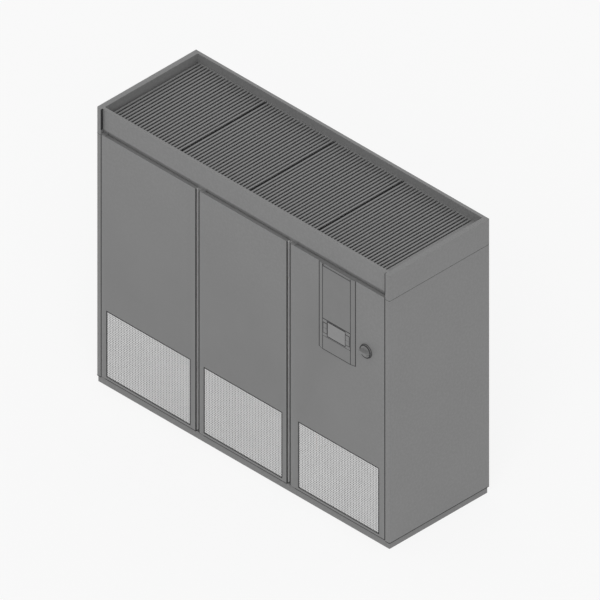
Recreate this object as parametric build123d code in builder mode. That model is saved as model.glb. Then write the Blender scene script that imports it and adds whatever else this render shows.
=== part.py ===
from build123d import *
from math import cos, hypot, radians, sin
import os

# Computer room air conditioner: a three-door floor-standing cabinet that draws room air in
# through louvres in its top, cools it over an A-frame coil and blows it out of the lower doors.
# Millimetres. Origin on the floor at the middle of the base, X to the right seen from the
# front, Y towards the back, Z up.

# Overall envelope of the casing
cabinet_width = 2470
cabinet_depth = 840
cabinet_height = 2000

# Sheet metal and fits
sheet = 2
heavy_sheet = 3
lip = 18
slide_clearance = 1
running_clearance = 0.05

# Plinth
plinth_height = 50
plinth_inset = 8
channel_width = 60
cross_tube_width = 60
anchor_radius = 7
anchor_edge = 30

# Casing
end_thickness = 36
corner_radius = 12
back_thickness = 22
back_panel_gap = 3
hood_height = 185
hood_seam = 3
louvre_recess = 57
fascia_setback = 15
fascia_thickness = 21

# Doors
door_thickness = 24
door_back_gap = 6
door_end_gap = 4
door_gap = 30
middle_door_width = 738
door_bottom_gap = 6
door_top_gap = 32
door_edge_radius = 1.5
pivot_inset = 12
pivot_depth = 8
pin_radius = 4
pin_reach = 10
bracket_width = 34
magnet_height = 60
magnet_width = 14

# Lower door grilles
window_bottom = 72
window_top = 555
side_window_outer = 43
side_window_inner = 43
middle_window_margin = 38
right_window_inner = 66
right_window_outer = 48
grille_border = 12
slot_height = 15
slot_pitch = 30
slot_web = 24
slot_columns = 3

# Door lining
lining_thickness = 17
lining_margin = 24

# Frame of square tube
post_size = 40
tube_wall = 2.5
mullion_width = 60
rail_height = 40

# Return air louvres and filters
module_count = 4
module_margin = 5.5
filler_width = 80.5
louvre_height = 25
louvre_side_rail = 25
louvre_end_rail = 22
blade_pitch = 25.5
blade_cover = 14
blade_thickness = 2.5
blade_depth = 17
filter_frame = 16
pleat_count = 10
pleat_sheet = 3
rack_bar_width = 44
rack_bar_height = 6

# Fan section
deck_height = 640
fan_shift = 1.5
wheel_radius = 250
eye_radius = 165
throat_gap = 6
throat_overlap = 9
wheel_bottom = 432
wheel_outlet = 105
wheel_height = 165
wheel_sheet = 3
shroud_throat = 12
shroud_flare = 28
shroud_rise = 4
blade_inner_radius = 169
blade_outer_radius = 244
blade_sweep = 52
blade_bulge = 16
blade_body = 7
wheel_blades = 7
hub_radius = 55
hub_height = 26
shaft_radius = 14
shaft_reach = 42
nozzle_hole_radius = 204
nozzle_flange_radius = 222
nozzle_bell = 42
nozzle_lip = 13
motor_radius = 78
motor_height = 96
motor_gap = 4
motor_fins = 12
motor_fin_reach = 8
motor_fin_thickness = 5
strut_reach = 288
strut_radius = 7
arm_width = 34
arm_height = 12

# Cooling coil
coil_left_margin = 49
coil_right_margin = 34
coil_thickness = 72
coil_foot_gap = 109
coil_head_spread = 52
coil_foot_height = 712
coil_head_gap = 50
fin_pitch = 40
fin_thickness = 3
coil_casing = 26
tray_width = 104
tray_height = 46
header_radius = 12
header_stand_off = 15
header_stubs = 6
header_stub_start = 0.1
stub_tube_radius = 5
header_outlet = 60
header_end = 0.06
heater_radius = 8
heater_spacing = 62
heater_height = 704

# Technical bay
board_head_gap = 32
board_height = 830
board_depth = 150
board_left_inset = 16
board_right_inset = 34
compressor_radius = 86
compressor_height = 430
compressor_foot = 20
compressor_plate = 154.8
dome_shoulder = 0.72
dome_drop = 0.3
compressor_dome = 44
boss_reach = 14
suction_height = 110
compressor_share = (0.265, 0.67)
compressor_gap = 288
steam_radius = 95
steam_height = 380
steam_drop = 752
steam_share = 0.167
steam_gap = 168
steam_neck = 60
steam_hose_radius = 14
hose_reach = 20
steam_edge = 20
neck_wall = 6
shelf_drop = 90
pipe_bend = 26
pipe_gap = 3
discharge_stand_off = 30
discharge_rise = 75
suction_share = (0.103, 0.4675)
suction_level = (260, 645)
rail_depth = 8
rail_width = 35
device_margin = 50
device_gap = 2
device_shoulder = 0.7
contactor_drop = 600
contactor_count = 7
contactor_width = 45
contactor_height = 84
contactor_depth = 86
terminal_drop = 740
terminal_count = 8
terminal_width = 52
terminal_height = 60
terminal_depth = 44
controller_drop = 220
controller_width = 260
controller_height = 200
controller_depth = 54
case_edge = 4
vent_count = 9
vent_pitch = 16
vent_width = 6
vent_depth = 4
vent_share = 0.6

# Control panel on the right-hand door
bezel_width = 302
bezel_inset = 399
bezel_length = 618
bezel_rise = 8
bezel_curve = 36
bezel_wall = 2.5
bezel_ledge = 15
display_drop = 518
display_height = 119
display_rise = 10
display_depth = 26
display_edge = 2
screen_width = 152
screen_height = 105
screen_thickness = 3
screen_recess = 1
key_web = 2
key_width = 31
key_height = 34
key_rise = 1.5
key_travel = 1.5
key_body = 8
key_gap = 0.4
key_edge = 1
key_spacing = 36

# Main isolator
isolator_inset = 156
isolator_drop = 463
dial_radius = 44
dial_height = 12
grip_height = 24
grip_width = 17
grip_length = 80
grip_taper = 8
grip_spread = 6
grip_sink = 1
grip_edge = 2
sleeve_radius = 14
sleeve_bore = 7
sleeve_floor = 1
shaft_bar_radius = 5
shaft_bar_overlap = 5
shaft_bar_seat = 20
shaft_bar_gap = 4
switch_width = 90
switch_height = 110
switch_depth = 62
switch_mouth = 24
switch_cheek = 10

# Rear service recess
service_share = 0.633
service_z = 240
service_width = 300
service_height = 200
service_depth = 60
liquid_radius = 8
gas_radius = 11.1
drain_radius = 16
cable_radius = 25
service_pitch = 62
cable_offset = 99.2
stub_reach = 50
stub_wall = 1.2

# Places worked out from the sizes above
half_width = cabinet_width / 2
front_y = -cabinet_depth / 2
back_y = cabinet_depth / 2
inner_x = half_width - end_thickness
hood_base = cabinet_height - hood_height
case_top = hood_base - hood_seam
frame_front = front_y + door_thickness + door_back_gap
frame_back = back_y - back_thickness
post_back = frame_front + post_size
anchor_row = cabinet_depth / 2 - plinth_inset - channel_width - anchor_edge
rear_post_front = frame_back - post_size
rail_top = case_top + rail_height
door_bottom = plinth_height + door_bottom_gap
door_top = rail_top - door_top_gap
door_back = front_y + door_thickness
skin_back = front_y + sheet
fascia_front = front_y + fascia_setback
fascia_back = fascia_front + fascia_thickness
louvre_top = cabinet_height - louvre_recess
mullion_x = middle_door_width / 2 + door_gap / 2
floor_top = plinth_height + sheet
panel_bottom = plinth_height
pivot_y = front_y + pivot_depth
louvre_base = louvre_top - louvre_height
module_pitch = (2 * inner_x - module_margin - filler_width) / module_count
filter_base = rail_top + rack_bar_height
deck_top = deck_height + heavy_sheet
bulkhead_x = mullion_x
air_left = -inner_x
air_right = bulkhead_x - sheet / 2
coil_left = air_left + coil_left_margin
coil_right = air_right - coil_right_margin
fan_x = (fan_shift - (inner_x + mullion_x) / 2, 0)
fan_y = (frame_front + frame_back) / 2
coil_foot_spread = (frame_back - frame_front) / 2 - coil_foot_gap
coil_head_height = case_top - coil_head_gap
bay_width = inner_x - mullion_x
compressor_x = [round(mullion_x + share * bay_width) for share in compressor_share]
compressor_y = rear_post_front - compressor_gap
suction_column_x = [round(mullion_x + share * bay_width) for share in suction_share]
steam_x = round(mullion_x + steam_share * bay_width)
steam_y = rear_post_front - steam_gap
steam_base = case_top - steam_drop
board_y = post_back + board_depth
board_left = mullion_x + board_left_inset
board_right = inner_x - board_right_inset
board_top = case_top - board_head_gap
board_bottom = board_top - board_height
contactor_z = board_top - contactor_drop
terminal_z = board_top - terminal_drop
controller_z = board_top - controller_drop
door_right_edge = inner_x - door_end_gap
bezel_centre_x = door_right_edge - bezel_inset
bezel_top = door_top - slide_clearance
bezel_bottom = bezel_top - bezel_length
display_bottom = bezel_top - display_drop
isolator_x = door_right_edge - isolator_inset
isolator_z = bezel_top - isolator_drop
display_front = front_y - display_rise
display_middle_z = display_bottom + display_height / 2
service_x = round(mullion_x + service_share * bay_width)
gas_stub_x = service_x - 1.5 * service_pitch
liquid_stub_x = service_x - 0.5 * service_pitch
drain_stub_x = service_x + 0.5 * service_pitch
cable_x = service_x + cable_offset

# Doors as name, left edge, right edge and the window in its lower part
left_edge = -inner_x + door_end_gap
middle_edge = -middle_door_width / 2
right_edge = mullion_x + door_gap / 2
side_width = right_edge - left_edge - middle_door_width - 2 * door_gap
doors = {
    "left": (left_edge, left_edge + side_width, side_window_outer, side_window_inner),
    "middle": (middle_edge, -middle_edge, middle_window_margin, middle_window_margin),
    "right": (right_edge, right_edge + side_width, right_window_inner, right_window_outer),
}


def bar(x_span, y_span, z_span, mode=Mode.ADD):
    """A rectangular block between limits on each axis, joined to the part being built."""
    middle = [(low + high) / 2 for low, high in (x_span, y_span, z_span)]
    with Locations(tuple(middle)):
        Box(
            x_span[1] - x_span[0],
            y_span[1] - y_span[0],
            z_span[1] - z_span[0],
            mode=mode,
        )


def rod(start, end, radius, mode=Mode.ADD):
    """A round bar between two points that lie along one axis, joined to the part being built."""
    axis = Vector(*end) - Vector(*start)
    with Locations(Plane(origin=start, z_dir=axis)):
        Cylinder(radius, axis.length, align=(Align.CENTER, Align.CENTER, Align.MIN), mode=mode)


def around(centre, size):
    """The span of a size set evenly about a centre."""
    return centre - size / 2, centre + size / 2


def save(piece, label):
    """Labels a finished piece and writes it as its own file."""
    piece.label = label
    export_step(piece, f"parts/{label}.step")


# Base and frame


def make_base_frame():
    """Channels round the plinth and square tubes across it."""
    out_x = half_width - plinth_inset
    out_y = cabinet_depth / 2 - plinth_inset
    in_x = out_x - channel_width
    in_y = out_y - channel_width
    low, high = heavy_sheet, plinth_height - heavy_sheet
    with BuildPart() as frame:
        for side in (-1, 1):
            edges = sorted((side * out_x, side * in_x))
            bar(edges, (-out_y, out_y), (0, plinth_height))
            hollow = sorted((side * (out_x - heavy_sheet), side * in_x))
            bar(hollow, (heavy_sheet - out_y, out_y - heavy_sheet), (low, high), Mode.SUBTRACT)
            for y in (-anchor_row, anchor_row):
                x = side * (out_x - anchor_edge)
                rod((x, y, 0), (x, y, heavy_sheet), anchor_radius, Mode.SUBTRACT)
    pieces = [frame.part]
    for side in (-1, 1):
        with BuildPart() as beam:
            edges = sorted((side * out_y, side * in_y))
            bar((-in_x, in_x), edges, (0, plinth_height))
            hollow = sorted((side * (out_y - heavy_sheet), side * in_y))
            bar((-in_x, in_x), hollow, (low, high), Mode.SUBTRACT)
        pieces.append(beam.part)
    for x in (-mullion_x, 0, mullion_x):
        with BuildPart() as tube:
            bar(around(x, cross_tube_width), (-in_y, in_y), (0, plinth_height))
            inside = around(x, cross_tube_width - 2 * heavy_sheet)
            bar(inside, (-in_y, in_y), (low, high), Mode.SUBTRACT)
        pieces.append(tube.part)
    return Compound(children=pieces)


def make_floor_pan():
    """Floor of the cabinet, cut out round the corner posts."""
    with BuildPart() as pan:
        bar((-inner_x, inner_x), (frame_front, frame_back), (plinth_height, floor_top))
        for x in (-1, 1):
            corner = sorted((x * inner_x, x * (inner_x - post_size)))
            for y_span in ((frame_front, post_back), (rear_post_front, frame_back)):
                bar(corner, y_span, (plinth_height, floor_top), Mode.SUBTRACT)
            gap = around(x * mullion_x, mullion_width)
            for y_span in ((frame_front, post_back), (rear_post_front, frame_back)):
                bar(gap, y_span, (plinth_height, floor_top), Mode.SUBTRACT)
    return pan.part


def post_places():
    """Middle and width of each upright, from left to right."""
    corner_x = inner_x - post_size / 2
    corners = [(-corner_x, post_size), (corner_x, post_size)]
    return corners[:1] + [(-mullion_x, mullion_width), (mullion_x, mullion_width)] + corners[1:]


def upright(x, width, y_span):
    """One upright of rectangular tube from the base to the top rails."""
    with BuildPart() as tube:
        bar(around(x, width), y_span, (plinth_height, case_top))
        inside_x = around(x, width - 2 * tube_wall)
        inside_y = (y_span[0] + tube_wall, y_span[1] - tube_wall)
        bar(inside_x, inside_y, (plinth_height, case_top), Mode.SUBTRACT)
    return tube.part


def make_uprights():
    """Corner posts and the wider uprights between the doors, in a front and a rear row."""
    rows = ((frame_front, post_back), (rear_post_front, frame_back))
    return Compound(children=[upright(x, width, row) for x, width in post_places() for row in rows])


def make_top_rails():
    """Ring of tube at the head of the frame with a tie over each bulkhead line."""
    z_span = (case_top, rail_top)
    z_inside = (case_top + tube_wall, rail_top - tube_wall)
    pieces = []
    for y_span in ((frame_front, post_back), (rear_post_front, frame_back)):
        with BuildPart() as rail:
            bar((-inner_x, inner_x), y_span, z_span)
            y_inside = (y_span[0] + tube_wall, y_span[1] - tube_wall)
            bar((-inner_x, inner_x), y_inside, z_inside, Mode.SUBTRACT)
        pieces.append(rail.part)
    for x, width in post_places():
        with BuildPart() as tie:
            bar(around(x, width), (post_back, rear_post_front), z_span)
            x_inside = around(x, width - 2 * tube_wall)
            bar(x_inside, (post_back, rear_post_front), z_inside, Mode.SUBTRACT)
        pieces.append(tie.part)
    return Compound(children=pieces)


# Outer casing


def make_end_panel(side):
    """Folded end panel with a rounded front edge, open towards the frame."""
    middle_x = side * (half_width - end_thickness / 2)
    with BuildPart() as panel:
        with BuildSketch(Plane.XY.offset(panel_bottom)) as outline:
            with Locations((middle_x, 0)):
                Rectangle(end_thickness, cabinet_depth)
            front = outline.vertices().group_by(Axis.Y)[0].sort_by(Axis.X)
            fillet(front[0] if side < 0 else front[-1], corner_radius)
        extrude(amount=case_top - panel_bottom)
        with BuildSketch(Plane.XY.offset(panel_bottom + sheet)) as hollow:
            with Locations((middle_x, 0)):
                Rectangle(end_thickness - 2 * sheet, cabinet_depth - 2 * sheet)
            front = hollow.vertices().group_by(Axis.Y)[0].sort_by(Axis.X)
            fillet(front[0] if side < 0 else front[-1], corner_radius - sheet)
        extrude(amount=case_top - panel_bottom - 2 * sheet, mode=Mode.SUBTRACT)
        wall = sorted((side * inner_x, side * (inner_x + sheet)))
        y_open = (frame_front + lip, frame_back - lip)
        bar(wall, y_open, (panel_bottom + lip, case_top - lip), Mode.SUBTRACT)
    return panel.part


def make_hood_cap(side):
    """End of the hood with a rounded front edge, closed on top and open underneath."""
    middle_x = side * (half_width - end_thickness / 2)
    with BuildPart() as cap:
        with BuildSketch(Plane.XY.offset(hood_base)) as outline:
            with Locations((middle_x, 0)):
                Rectangle(end_thickness, cabinet_depth)
            front = outline.vertices().group_by(Axis.Y)[0].sort_by(Axis.X)
            fillet(front[0] if side < 0 else front[-1], corner_radius)
        extrude(amount=hood_height)
        with BuildSketch(Plane.XY.offset(hood_base)) as hollow:
            with Locations((middle_x, 0)):
                Rectangle(end_thickness - 2 * sheet, cabinet_depth - 2 * sheet)
            front = hollow.vertices().group_by(Axis.Y)[0].sort_by(Axis.X)
            fillet(front[0] if side < 0 else front[-1], corner_radius - sheet)
        extrude(amount=hood_height - sheet, mode=Mode.SUBTRACT)
    return cap.part


def make_hood_back():
    """Rear wall of the hood, a folded channel open underneath."""
    with BuildPart() as wall:
        bar((-inner_x, inner_x), (frame_back, back_y), (hood_base, cabinet_height))
        inside_y = (frame_back + sheet, back_y - sheet)
        bar((-inner_x, inner_x), inside_y, (hood_base, cabinet_height - sheet), Mode.SUBTRACT)
    return wall.part


def make_hood_fascia():
    """Front wall of the hood, set back behind the doors and standing on the front rail."""
    with BuildPart() as wall:
        bar((-inner_x, inner_x), (fascia_front, fascia_back), (rail_top, cabinet_height))
        inside_y = (fascia_front + sheet, fascia_back - sheet)
        bar((-inner_x, inner_x), inside_y, (rail_top, cabinet_height - sheet), Mode.SUBTRACT)
    return wall.part


def make_back_panels():
    """Three folded panels on the rear uprights; the right one is cut for the service recess."""
    edges = (-inner_x, -mullion_x, mullion_x, inner_x)
    pieces = []
    for left, right in zip(edges, edges[1:]):
        x_span = (left + back_panel_gap / 2, right - back_panel_gap / 2)
        with BuildPart() as pan:
            bar(x_span, (frame_back, back_y), (panel_bottom, case_top))
            inside = (x_span[0] + sheet, x_span[1] - sheet)
            z_inside = (panel_bottom + sheet, case_top - sheet)
            bar(inside, (frame_back, back_y - sheet), z_inside, Mode.SUBTRACT)
            if left < service_x < right:
                hole = around(service_x, service_width)
                bar(hole, (frame_back, back_y), around(service_z, service_height), Mode.SUBTRACT)
        pieces.append(pan.part)
    return Compound(children=pieces)


def make_service_recess():
    """Recessed rear box through which pipes, drain and cable enter, with its pipe stubs."""
    plate_y = back_y - sheet - service_depth
    outer_x = around(service_x, service_width + 2 * lip)
    outer_z = around(service_z, service_height + 2 * lip)
    stubs = ((gas_stub_x, gas_radius), (liquid_stub_x, liquid_radius), (drain_stub_x, drain_radius))
    with BuildPart() as recess:
        bar(outer_x, (back_y - 2 * sheet, back_y - sheet), outer_z)
        wall_x = around(service_x, service_width + 2 * sheet)
        wall_z = around(service_z, service_height + 2 * sheet)
        bar(wall_x, (plate_y, back_y - sheet), wall_z)
        inside_x = around(service_x, service_width)
        inside_z = around(service_z, service_height)
        bar(inside_x, (plate_y + heavy_sheet, back_y), inside_z, Mode.SUBTRACT)
        for x, radius in stubs:
            rod((x, plate_y, service_z), (x, plate_y + stub_reach, service_z), radius)
            rod((x, plate_y, service_z), (x, back_y, service_z), radius - stub_wall, Mode.SUBTRACT)
        rod((cable_x, plate_y, service_z), (cable_x, back_y, service_z), cable_radius, Mode.SUBTRACT)
    return recess.part


# Return air louvres and filters


def module_span(index):
    """Left and right faces of one louvre module."""
    left = -inner_x + module_margin + index * module_pitch
    return left + slide_clearance, left + module_pitch - slide_clearance


def module_y_span():
    """Front and rear faces of the louvre modules."""
    return fascia_back + slide_clearance, frame_back - slide_clearance


def make_louvre(index):
    """Rectangular frame filled with leaning blades that run front to back."""
    x_span, y_span = module_span(index), module_y_span()
    centre = sum(x_span) / 2
    blade_count = int((x_span[1] - x_span[0] - 2 * louvre_side_rail) // blade_pitch)
    open_half = ((blade_count + 1) * blade_pitch - blade_cover) / 2
    inside_x = (centre - open_half, centre + open_half)
    inside_y = (y_span[0] + louvre_end_rail, y_span[1] - louvre_end_rail)
    first = centre - (blade_count - 1) * blade_pitch / 2
    with BuildPart() as louvre:
        bar(x_span, y_span, (louvre_base, louvre_top))
        bar(inside_x, inside_y, (louvre_base, louvre_top), Mode.SUBTRACT)
        with BuildSketch(Plane.XZ.offset(-inside_y[0])):
            for blade in range(blade_count):
                x = first + blade * blade_pitch
                with BuildLine():
                    Polyline(
                        (x - blade_cover / 2, louvre_top),
                        (x - blade_cover / 2 + blade_thickness, louvre_top),
                        (x + blade_cover / 2, louvre_top - blade_depth),
                        (x + blade_cover / 2 - blade_thickness, louvre_top - blade_depth),
                        close=True,
                    )
                make_face()
        extrude(amount=inside_y[0] - inside_y[1])
    return louvre.part


def make_filter(index):
    """Pleated filter in a rigid frame that hangs under one louvre."""
    x_span, y_span = module_span(index), module_y_span()
    inside_x = (x_span[0] + filter_frame, x_span[1] - filter_frame)
    inside_y = (y_span[0] + filter_frame, y_span[1] - filter_frame)
    step = (inside_x[1] - inside_x[0]) / (2 * pleat_count)
    low, high = filter_base + pleat_sheet, louvre_base - 2 * pleat_sheet
    crests = [(inside_x[0] + n * step, high if n % 2 else low) for n in range(2 * pleat_count + 1)]
    with BuildPart() as cassette:
        bar(x_span, y_span, (filter_base, louvre_base))
        bar(inside_x, inside_y, (filter_base, louvre_base), Mode.SUBTRACT)
        with BuildSketch(Plane.XZ.offset(-inside_y[0])):
            with BuildLine():
                Polyline(*crests)
                Polyline(*[(x, z + pleat_sheet) for x, z in crests])
                Line(crests[0], (crests[0][0], crests[0][1] + pleat_sheet))
                Line(crests[-1], (crests[-1][0], crests[-1][1] + pleat_sheet))
            make_face()
        extrude(amount=inside_y[0] - inside_y[1])
    return cassette.part


def make_filter_rack():
    """Bars that carry the filters, one under each joint between modules."""
    pieces = []
    for index in range(module_count + 1):
        x = -inner_x + module_margin + index * module_pitch
        low = max(x - rack_bar_width / 2, -inner_x)
        with BuildPart() as support:
            bar((low, x + rack_bar_width / 2), (fascia_back, frame_back), (rail_top, filter_base))
        pieces.append(support.part)
    return Compound(children=pieces)


def make_filler_strip():
    """Folded blank strip that closes the hood between the last louvre and the right cap."""
    left = inner_x - filler_width + slide_clearance
    y_span = (fascia_back, frame_back)
    with BuildPart() as strip:
        bar((left, inner_x), y_span, (rail_top, louvre_top))
        bar((left + sheet, inner_x), y_span, (rail_top, louvre_top - sheet), Mode.SUBTRACT)
        bar((left, left + rack_bar_width), y_span, (rail_top, filter_base), Mode.SUBTRACT)
    return strip.part


# Doors


def door_window(name):
    """Left and right edges of the window in the lower part of a door."""
    left, right, left_margin, right_margin = doors[name]
    return left + left_margin, right - right_margin


def make_door_panel(name):
    """Folded steel door with a window for its grille and pivot holes at its left edge."""
    left, right = doors[name][:2]
    window = door_window(name)
    with BuildPart() as panel:
        bar((left, right), (front_y, door_back), (door_bottom, door_top))
        front_edges = panel.edges().filter_by(Axis.Z).group_by(Axis.Y)[0]
        fillet(front_edges, door_edge_radius)
        inside = (left + sheet, right - sheet)
        z_inside = (door_bottom + sheet, door_top - sheet)
        bar(inside, (skin_back, door_back - sheet), z_inside, Mode.SUBTRACT)
        opening = (left + lip, right - lip)
        z_opening = (door_bottom + lip, door_top - lip)
        bar(opening, (door_back - sheet, door_back), z_opening, Mode.SUBTRACT)
        bar(window, (front_y, skin_back), (window_bottom, window_top), Mode.SUBTRACT)
        pivot = left + pivot_inset
        bore = pin_radius + running_clearance
        rod((pivot, pivot_y, door_bottom), (pivot, pivot_y, door_bottom + sheet), bore, Mode.SUBTRACT)
        rod((pivot, pivot_y, door_top - sheet), (pivot, pivot_y, door_top), bore, Mode.SUBTRACT)
        if name == "right":
            cut_control_openings(skin_back)
    return panel.part


def cut_control_openings(depth_y):
    """Holes for the display module and the isolator sleeve, cut into the part being built."""
    display_x = around(bezel_centre_x, display_width() + 2 * slide_clearance)
    display_z = around(display_middle_z, display_height + 2 * slide_clearance)
    bar(display_x, (front_y, depth_y), display_z, Mode.SUBTRACT)
    start = (isolator_x, front_y, isolator_z)
    rod(start, (isolator_x, depth_y, isolator_z), sleeve_radius + slide_clearance, Mode.SUBTRACT)


def make_door_lining(name):
    """Insulating pad bonded to the inside of the door above its grille."""
    left, right = doors[name][:2]
    pad_back = skin_back + lining_thickness
    low = window_top + grille_border + lining_margin
    with BuildPart() as pad:
        edges = (left + lining_margin, right - lining_margin)
        bar(edges, (skin_back, pad_back), (low, door_top - lining_margin))
        if name == "right":
            cut_control_openings(pad_back)
    return pad.part


def make_door_grille(name):
    """Slotted supply air plate fixed behind the window of a door."""
    window = door_window(name)
    plate_x = (window[0] - grille_border, window[1] + grille_border)
    plate_z = (window_bottom - grille_border, window_top + grille_border)
    slot_width = (window[1] - window[0] - (slot_columns + 1) * slot_web) / slot_columns
    rows = int((window_top - window_bottom - slot_web) // slot_pitch)
    centre = (sum(window) / 2, (window_bottom + window_top) / 2)
    with BuildPart() as plate:
        bar(plate_x, (skin_back, skin_back + sheet), plate_z)
        with BuildSketch(Plane.XZ.offset(-skin_back)):
            with Locations(centre):
                with GridLocations(slot_width + slot_web, slot_pitch, slot_columns, rows):
                    Rectangle(slot_width, slot_height)
        extrude(amount=-sheet, mode=Mode.SUBTRACT)
    return plate.part


def make_door_fittings():
    """Plates and angles that carry the door pins, with the magnetic catches."""
    pieces = make_door_magnets()
    for left, _, _, _ in doors.values():
        pin = left + pivot_inset
        x_span = (left, left + bracket_width)
        y_front = front_y + slide_clearance
        plate_top = plinth_height + heavy_sheet
        with BuildPart() as bottom:
            bar(x_span, (y_front, frame_front), (plinth_height, plate_top))
            rod((pin, pivot_y, plinth_height), (pin, pivot_y, door_bottom + pin_reach), pin_radius)
        pieces.append(bottom.part)
        plate_base = door_top + heavy_sheet
        with BuildPart() as top:
            bar(x_span, (y_front, frame_front), (plate_base, plate_base + heavy_sheet))
            bar(x_span, (frame_front - heavy_sheet, frame_front), (plate_base, rail_top - heavy_sheet))
            rod((pin, pivot_y, door_top - pin_reach), (pin, pivot_y, plate_base), pin_radius)
        pieces.append(top.part)
    return Compound(children=pieces)


def make_door_magnets():
    """Magnetic catches on the uprights behind the free edge of each door."""
    pieces = []
    for _, right, _, _ in doors.values():
        x_span = (right - lip, right - lip + magnet_width)
        for z in (door_bottom + magnet_height, door_top - magnet_height):
            with BuildPart() as magnet:
                bar(x_span, (door_back, frame_front), around(z, magnet_height))
            pieces.append(magnet.part)
    return pieces


# Control panel and isolator


def display_width():
    """Width of the flat face of the control panel surround."""
    return bezel_width - 2 * bezel_curve


def bezel_lines(inset):
    """Plan outline of the surround, drawn in the line being built."""
    half = bezel_width / 2 - inset
    flat = display_width() / 2
    rise = bezel_rise - inset
    base = Line((bezel_centre_x - half, front_y), (bezel_centre_x + half, front_y))
    crown = Line((bezel_centre_x - flat, front_y - rise), (bezel_centre_x + flat, front_y - rise))
    TangentArc(crown @ 0, base @ 0, tangent=(-1, 0))
    TangentArc(crown @ 1, base @ 1, tangent=(1, 0))


def make_display_bezel():
    """Raised surround with curved flanks and a ledge at its head, open for the display module."""
    module_x = around(bezel_centre_x, display_width())
    module_z = (display_bottom, display_bottom + display_height)
    crown_y = front_y - bezel_rise
    ledge_y = front_y - bezel_rise / 2
    with BuildPart() as bezel:
        with BuildSketch(Plane.XY.offset(bezel_bottom)):
            with BuildLine():
                bezel_lines(0)
            make_face()
        extrude(amount=bezel_length)
        with BuildSketch(Plane.XY.offset(bezel_bottom + bezel_wall)):
            with BuildLine():
                bezel_lines(bezel_wall)
            make_face()
        extrude(amount=bezel_length - 2 * bezel_wall, mode=Mode.SUBTRACT)
        ledge_z = bezel_top - bezel_ledge
        bar(module_x, (crown_y, ledge_y), (ledge_z, bezel_top), Mode.SUBTRACT)
        bar(module_x, (ledge_y, front_y), (ledge_z, bezel_top))
        bar(module_x, (crown_y, front_y), (ledge_z - bezel_wall, ledge_z))
        bar(module_x, (crown_y, front_y), module_z, Mode.SUBTRACT)
    return bezel.part


def key_places():
    """Centres of the four keys as distance along the panel and height."""
    reach = (screen_width + key_width) / 2 + key_web
    columns = (bezel_centre_x - reach, bezel_centre_x + reach)
    rows = (display_middle_z + key_spacing / 2, display_middle_z - key_spacing / 2)
    return [(x, z) for x in columns for z in rows]


def make_display_housing():
    """Moulded display module with pockets for the screen and the keys."""
    x_span = around(bezel_centre_x, display_width())
    z_span = (display_bottom, display_bottom + display_height)
    screen_y = (display_front, display_front + screen_recess + screen_thickness)
    key_floor = display_front + key_body + key_travel - key_rise + key_gap
    with BuildPart() as housing:
        bar(x_span, (display_front, display_front + display_depth), z_span)
        fillet(housing.edges().filter_by(Axis.Z).group_by(Axis.Y)[0], display_edge)
        screen_z = around(display_middle_z, screen_height)
        bar(around(bezel_centre_x, screen_width), screen_y, screen_z, Mode.SUBTRACT)
        for x, z in key_places():
            pocket_x = around(x, key_width - 2 * key_gap)
            pocket_z = around(z, key_height)
            bar(pocket_x, (display_front, key_floor), pocket_z, Mode.SUBTRACT)
    return housing.part


def make_display_screen():
    """Glass of the display, set a little below the face of its module."""
    with BuildPart() as screen:
        y_span = (display_front + screen_recess, display_front + screen_recess + screen_thickness)
        bar(around(bezel_centre_x, screen_width), y_span, around(display_middle_z, screen_height))
    return screen.part


def make_key(x, z):
    """One push key with a rounded face, free to travel in its pocket."""
    face = display_front - key_rise
    with BuildPart() as key:
        width = key_width - 4 * key_gap
        bar(around(x, width), (face, face + key_body), around(z, key_height - 2 * key_gap))
        fillet(key.faces().sort_by(Axis.Y)[0].edges(), key_edge)
    return key.part


def make_isolator_handle():
    """Round rotary handle with a bar grip and a sleeve that takes the switch shaft."""
    base = Plane(origin=(isolator_x, front_y, isolator_z), x_dir=(1, 0, 0), z_dir=(0, -1, 0))
    with BuildPart() as handle:
        with BuildSketch(Plane(origin=base.origin, x_dir=(1, 0, 0), z_dir=(0, 0, 1))):
            with BuildLine():
                Polyline(
                    (0, 0),
                    (dial_radius, 0),
                    (dial_radius, -dial_height / 2),
                    (dial_radius - dial_height / 2, -dial_height),
                    (0, -dial_height),
                    close=True,
                )
            make_face()
        revolve(axis=Axis(base.origin, (0, 1, 0)))
        with BuildSketch(base.offset(dial_height - grip_sink)):
            SlotOverall(grip_length, grip_width + grip_spread)
        with BuildSketch(base.offset(dial_height + grip_height)):
            SlotOverall(grip_length - grip_taper, grip_width)
        loft()
        fillet(handle.faces().sort_by(Axis.Y)[0].edges(), grip_edge)
        rod((isolator_x, front_y, isolator_z), (isolator_x, door_back, isolator_z), sleeve_radius)
        bore_start = (isolator_x, front_y + sleeve_floor, isolator_z)
        rod(bore_start, (isolator_x, door_back, isolator_z), sleeve_bore, Mode.SUBTRACT)
    return handle.part


def make_isolator_shaft():
    """Shaft from the switch to the handle sleeve, which it enters without touching."""
    tip = door_back - shaft_bar_overlap
    with BuildPart() as shaft:
        start = (isolator_x, board_y - switch_depth + shaft_bar_seat, isolator_z)
        rod(start, (isolator_x, tip, isolator_z), shaft_bar_radius)
    return shaft.part


# Fan section


def make_fan_deck():
    """Horizontal deck that parts the coil chamber from the supply chamber, with two fan holes."""
    with BuildPart() as deck:
        bar((air_left, air_right), (post_back, rear_post_front), (deck_height, deck_top))
        for x in fan_x:
            rod((x, fan_y, deck_height), (x, fan_y, deck_top), nozzle_hole_radius, Mode.SUBTRACT)
    return deck.part


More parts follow.
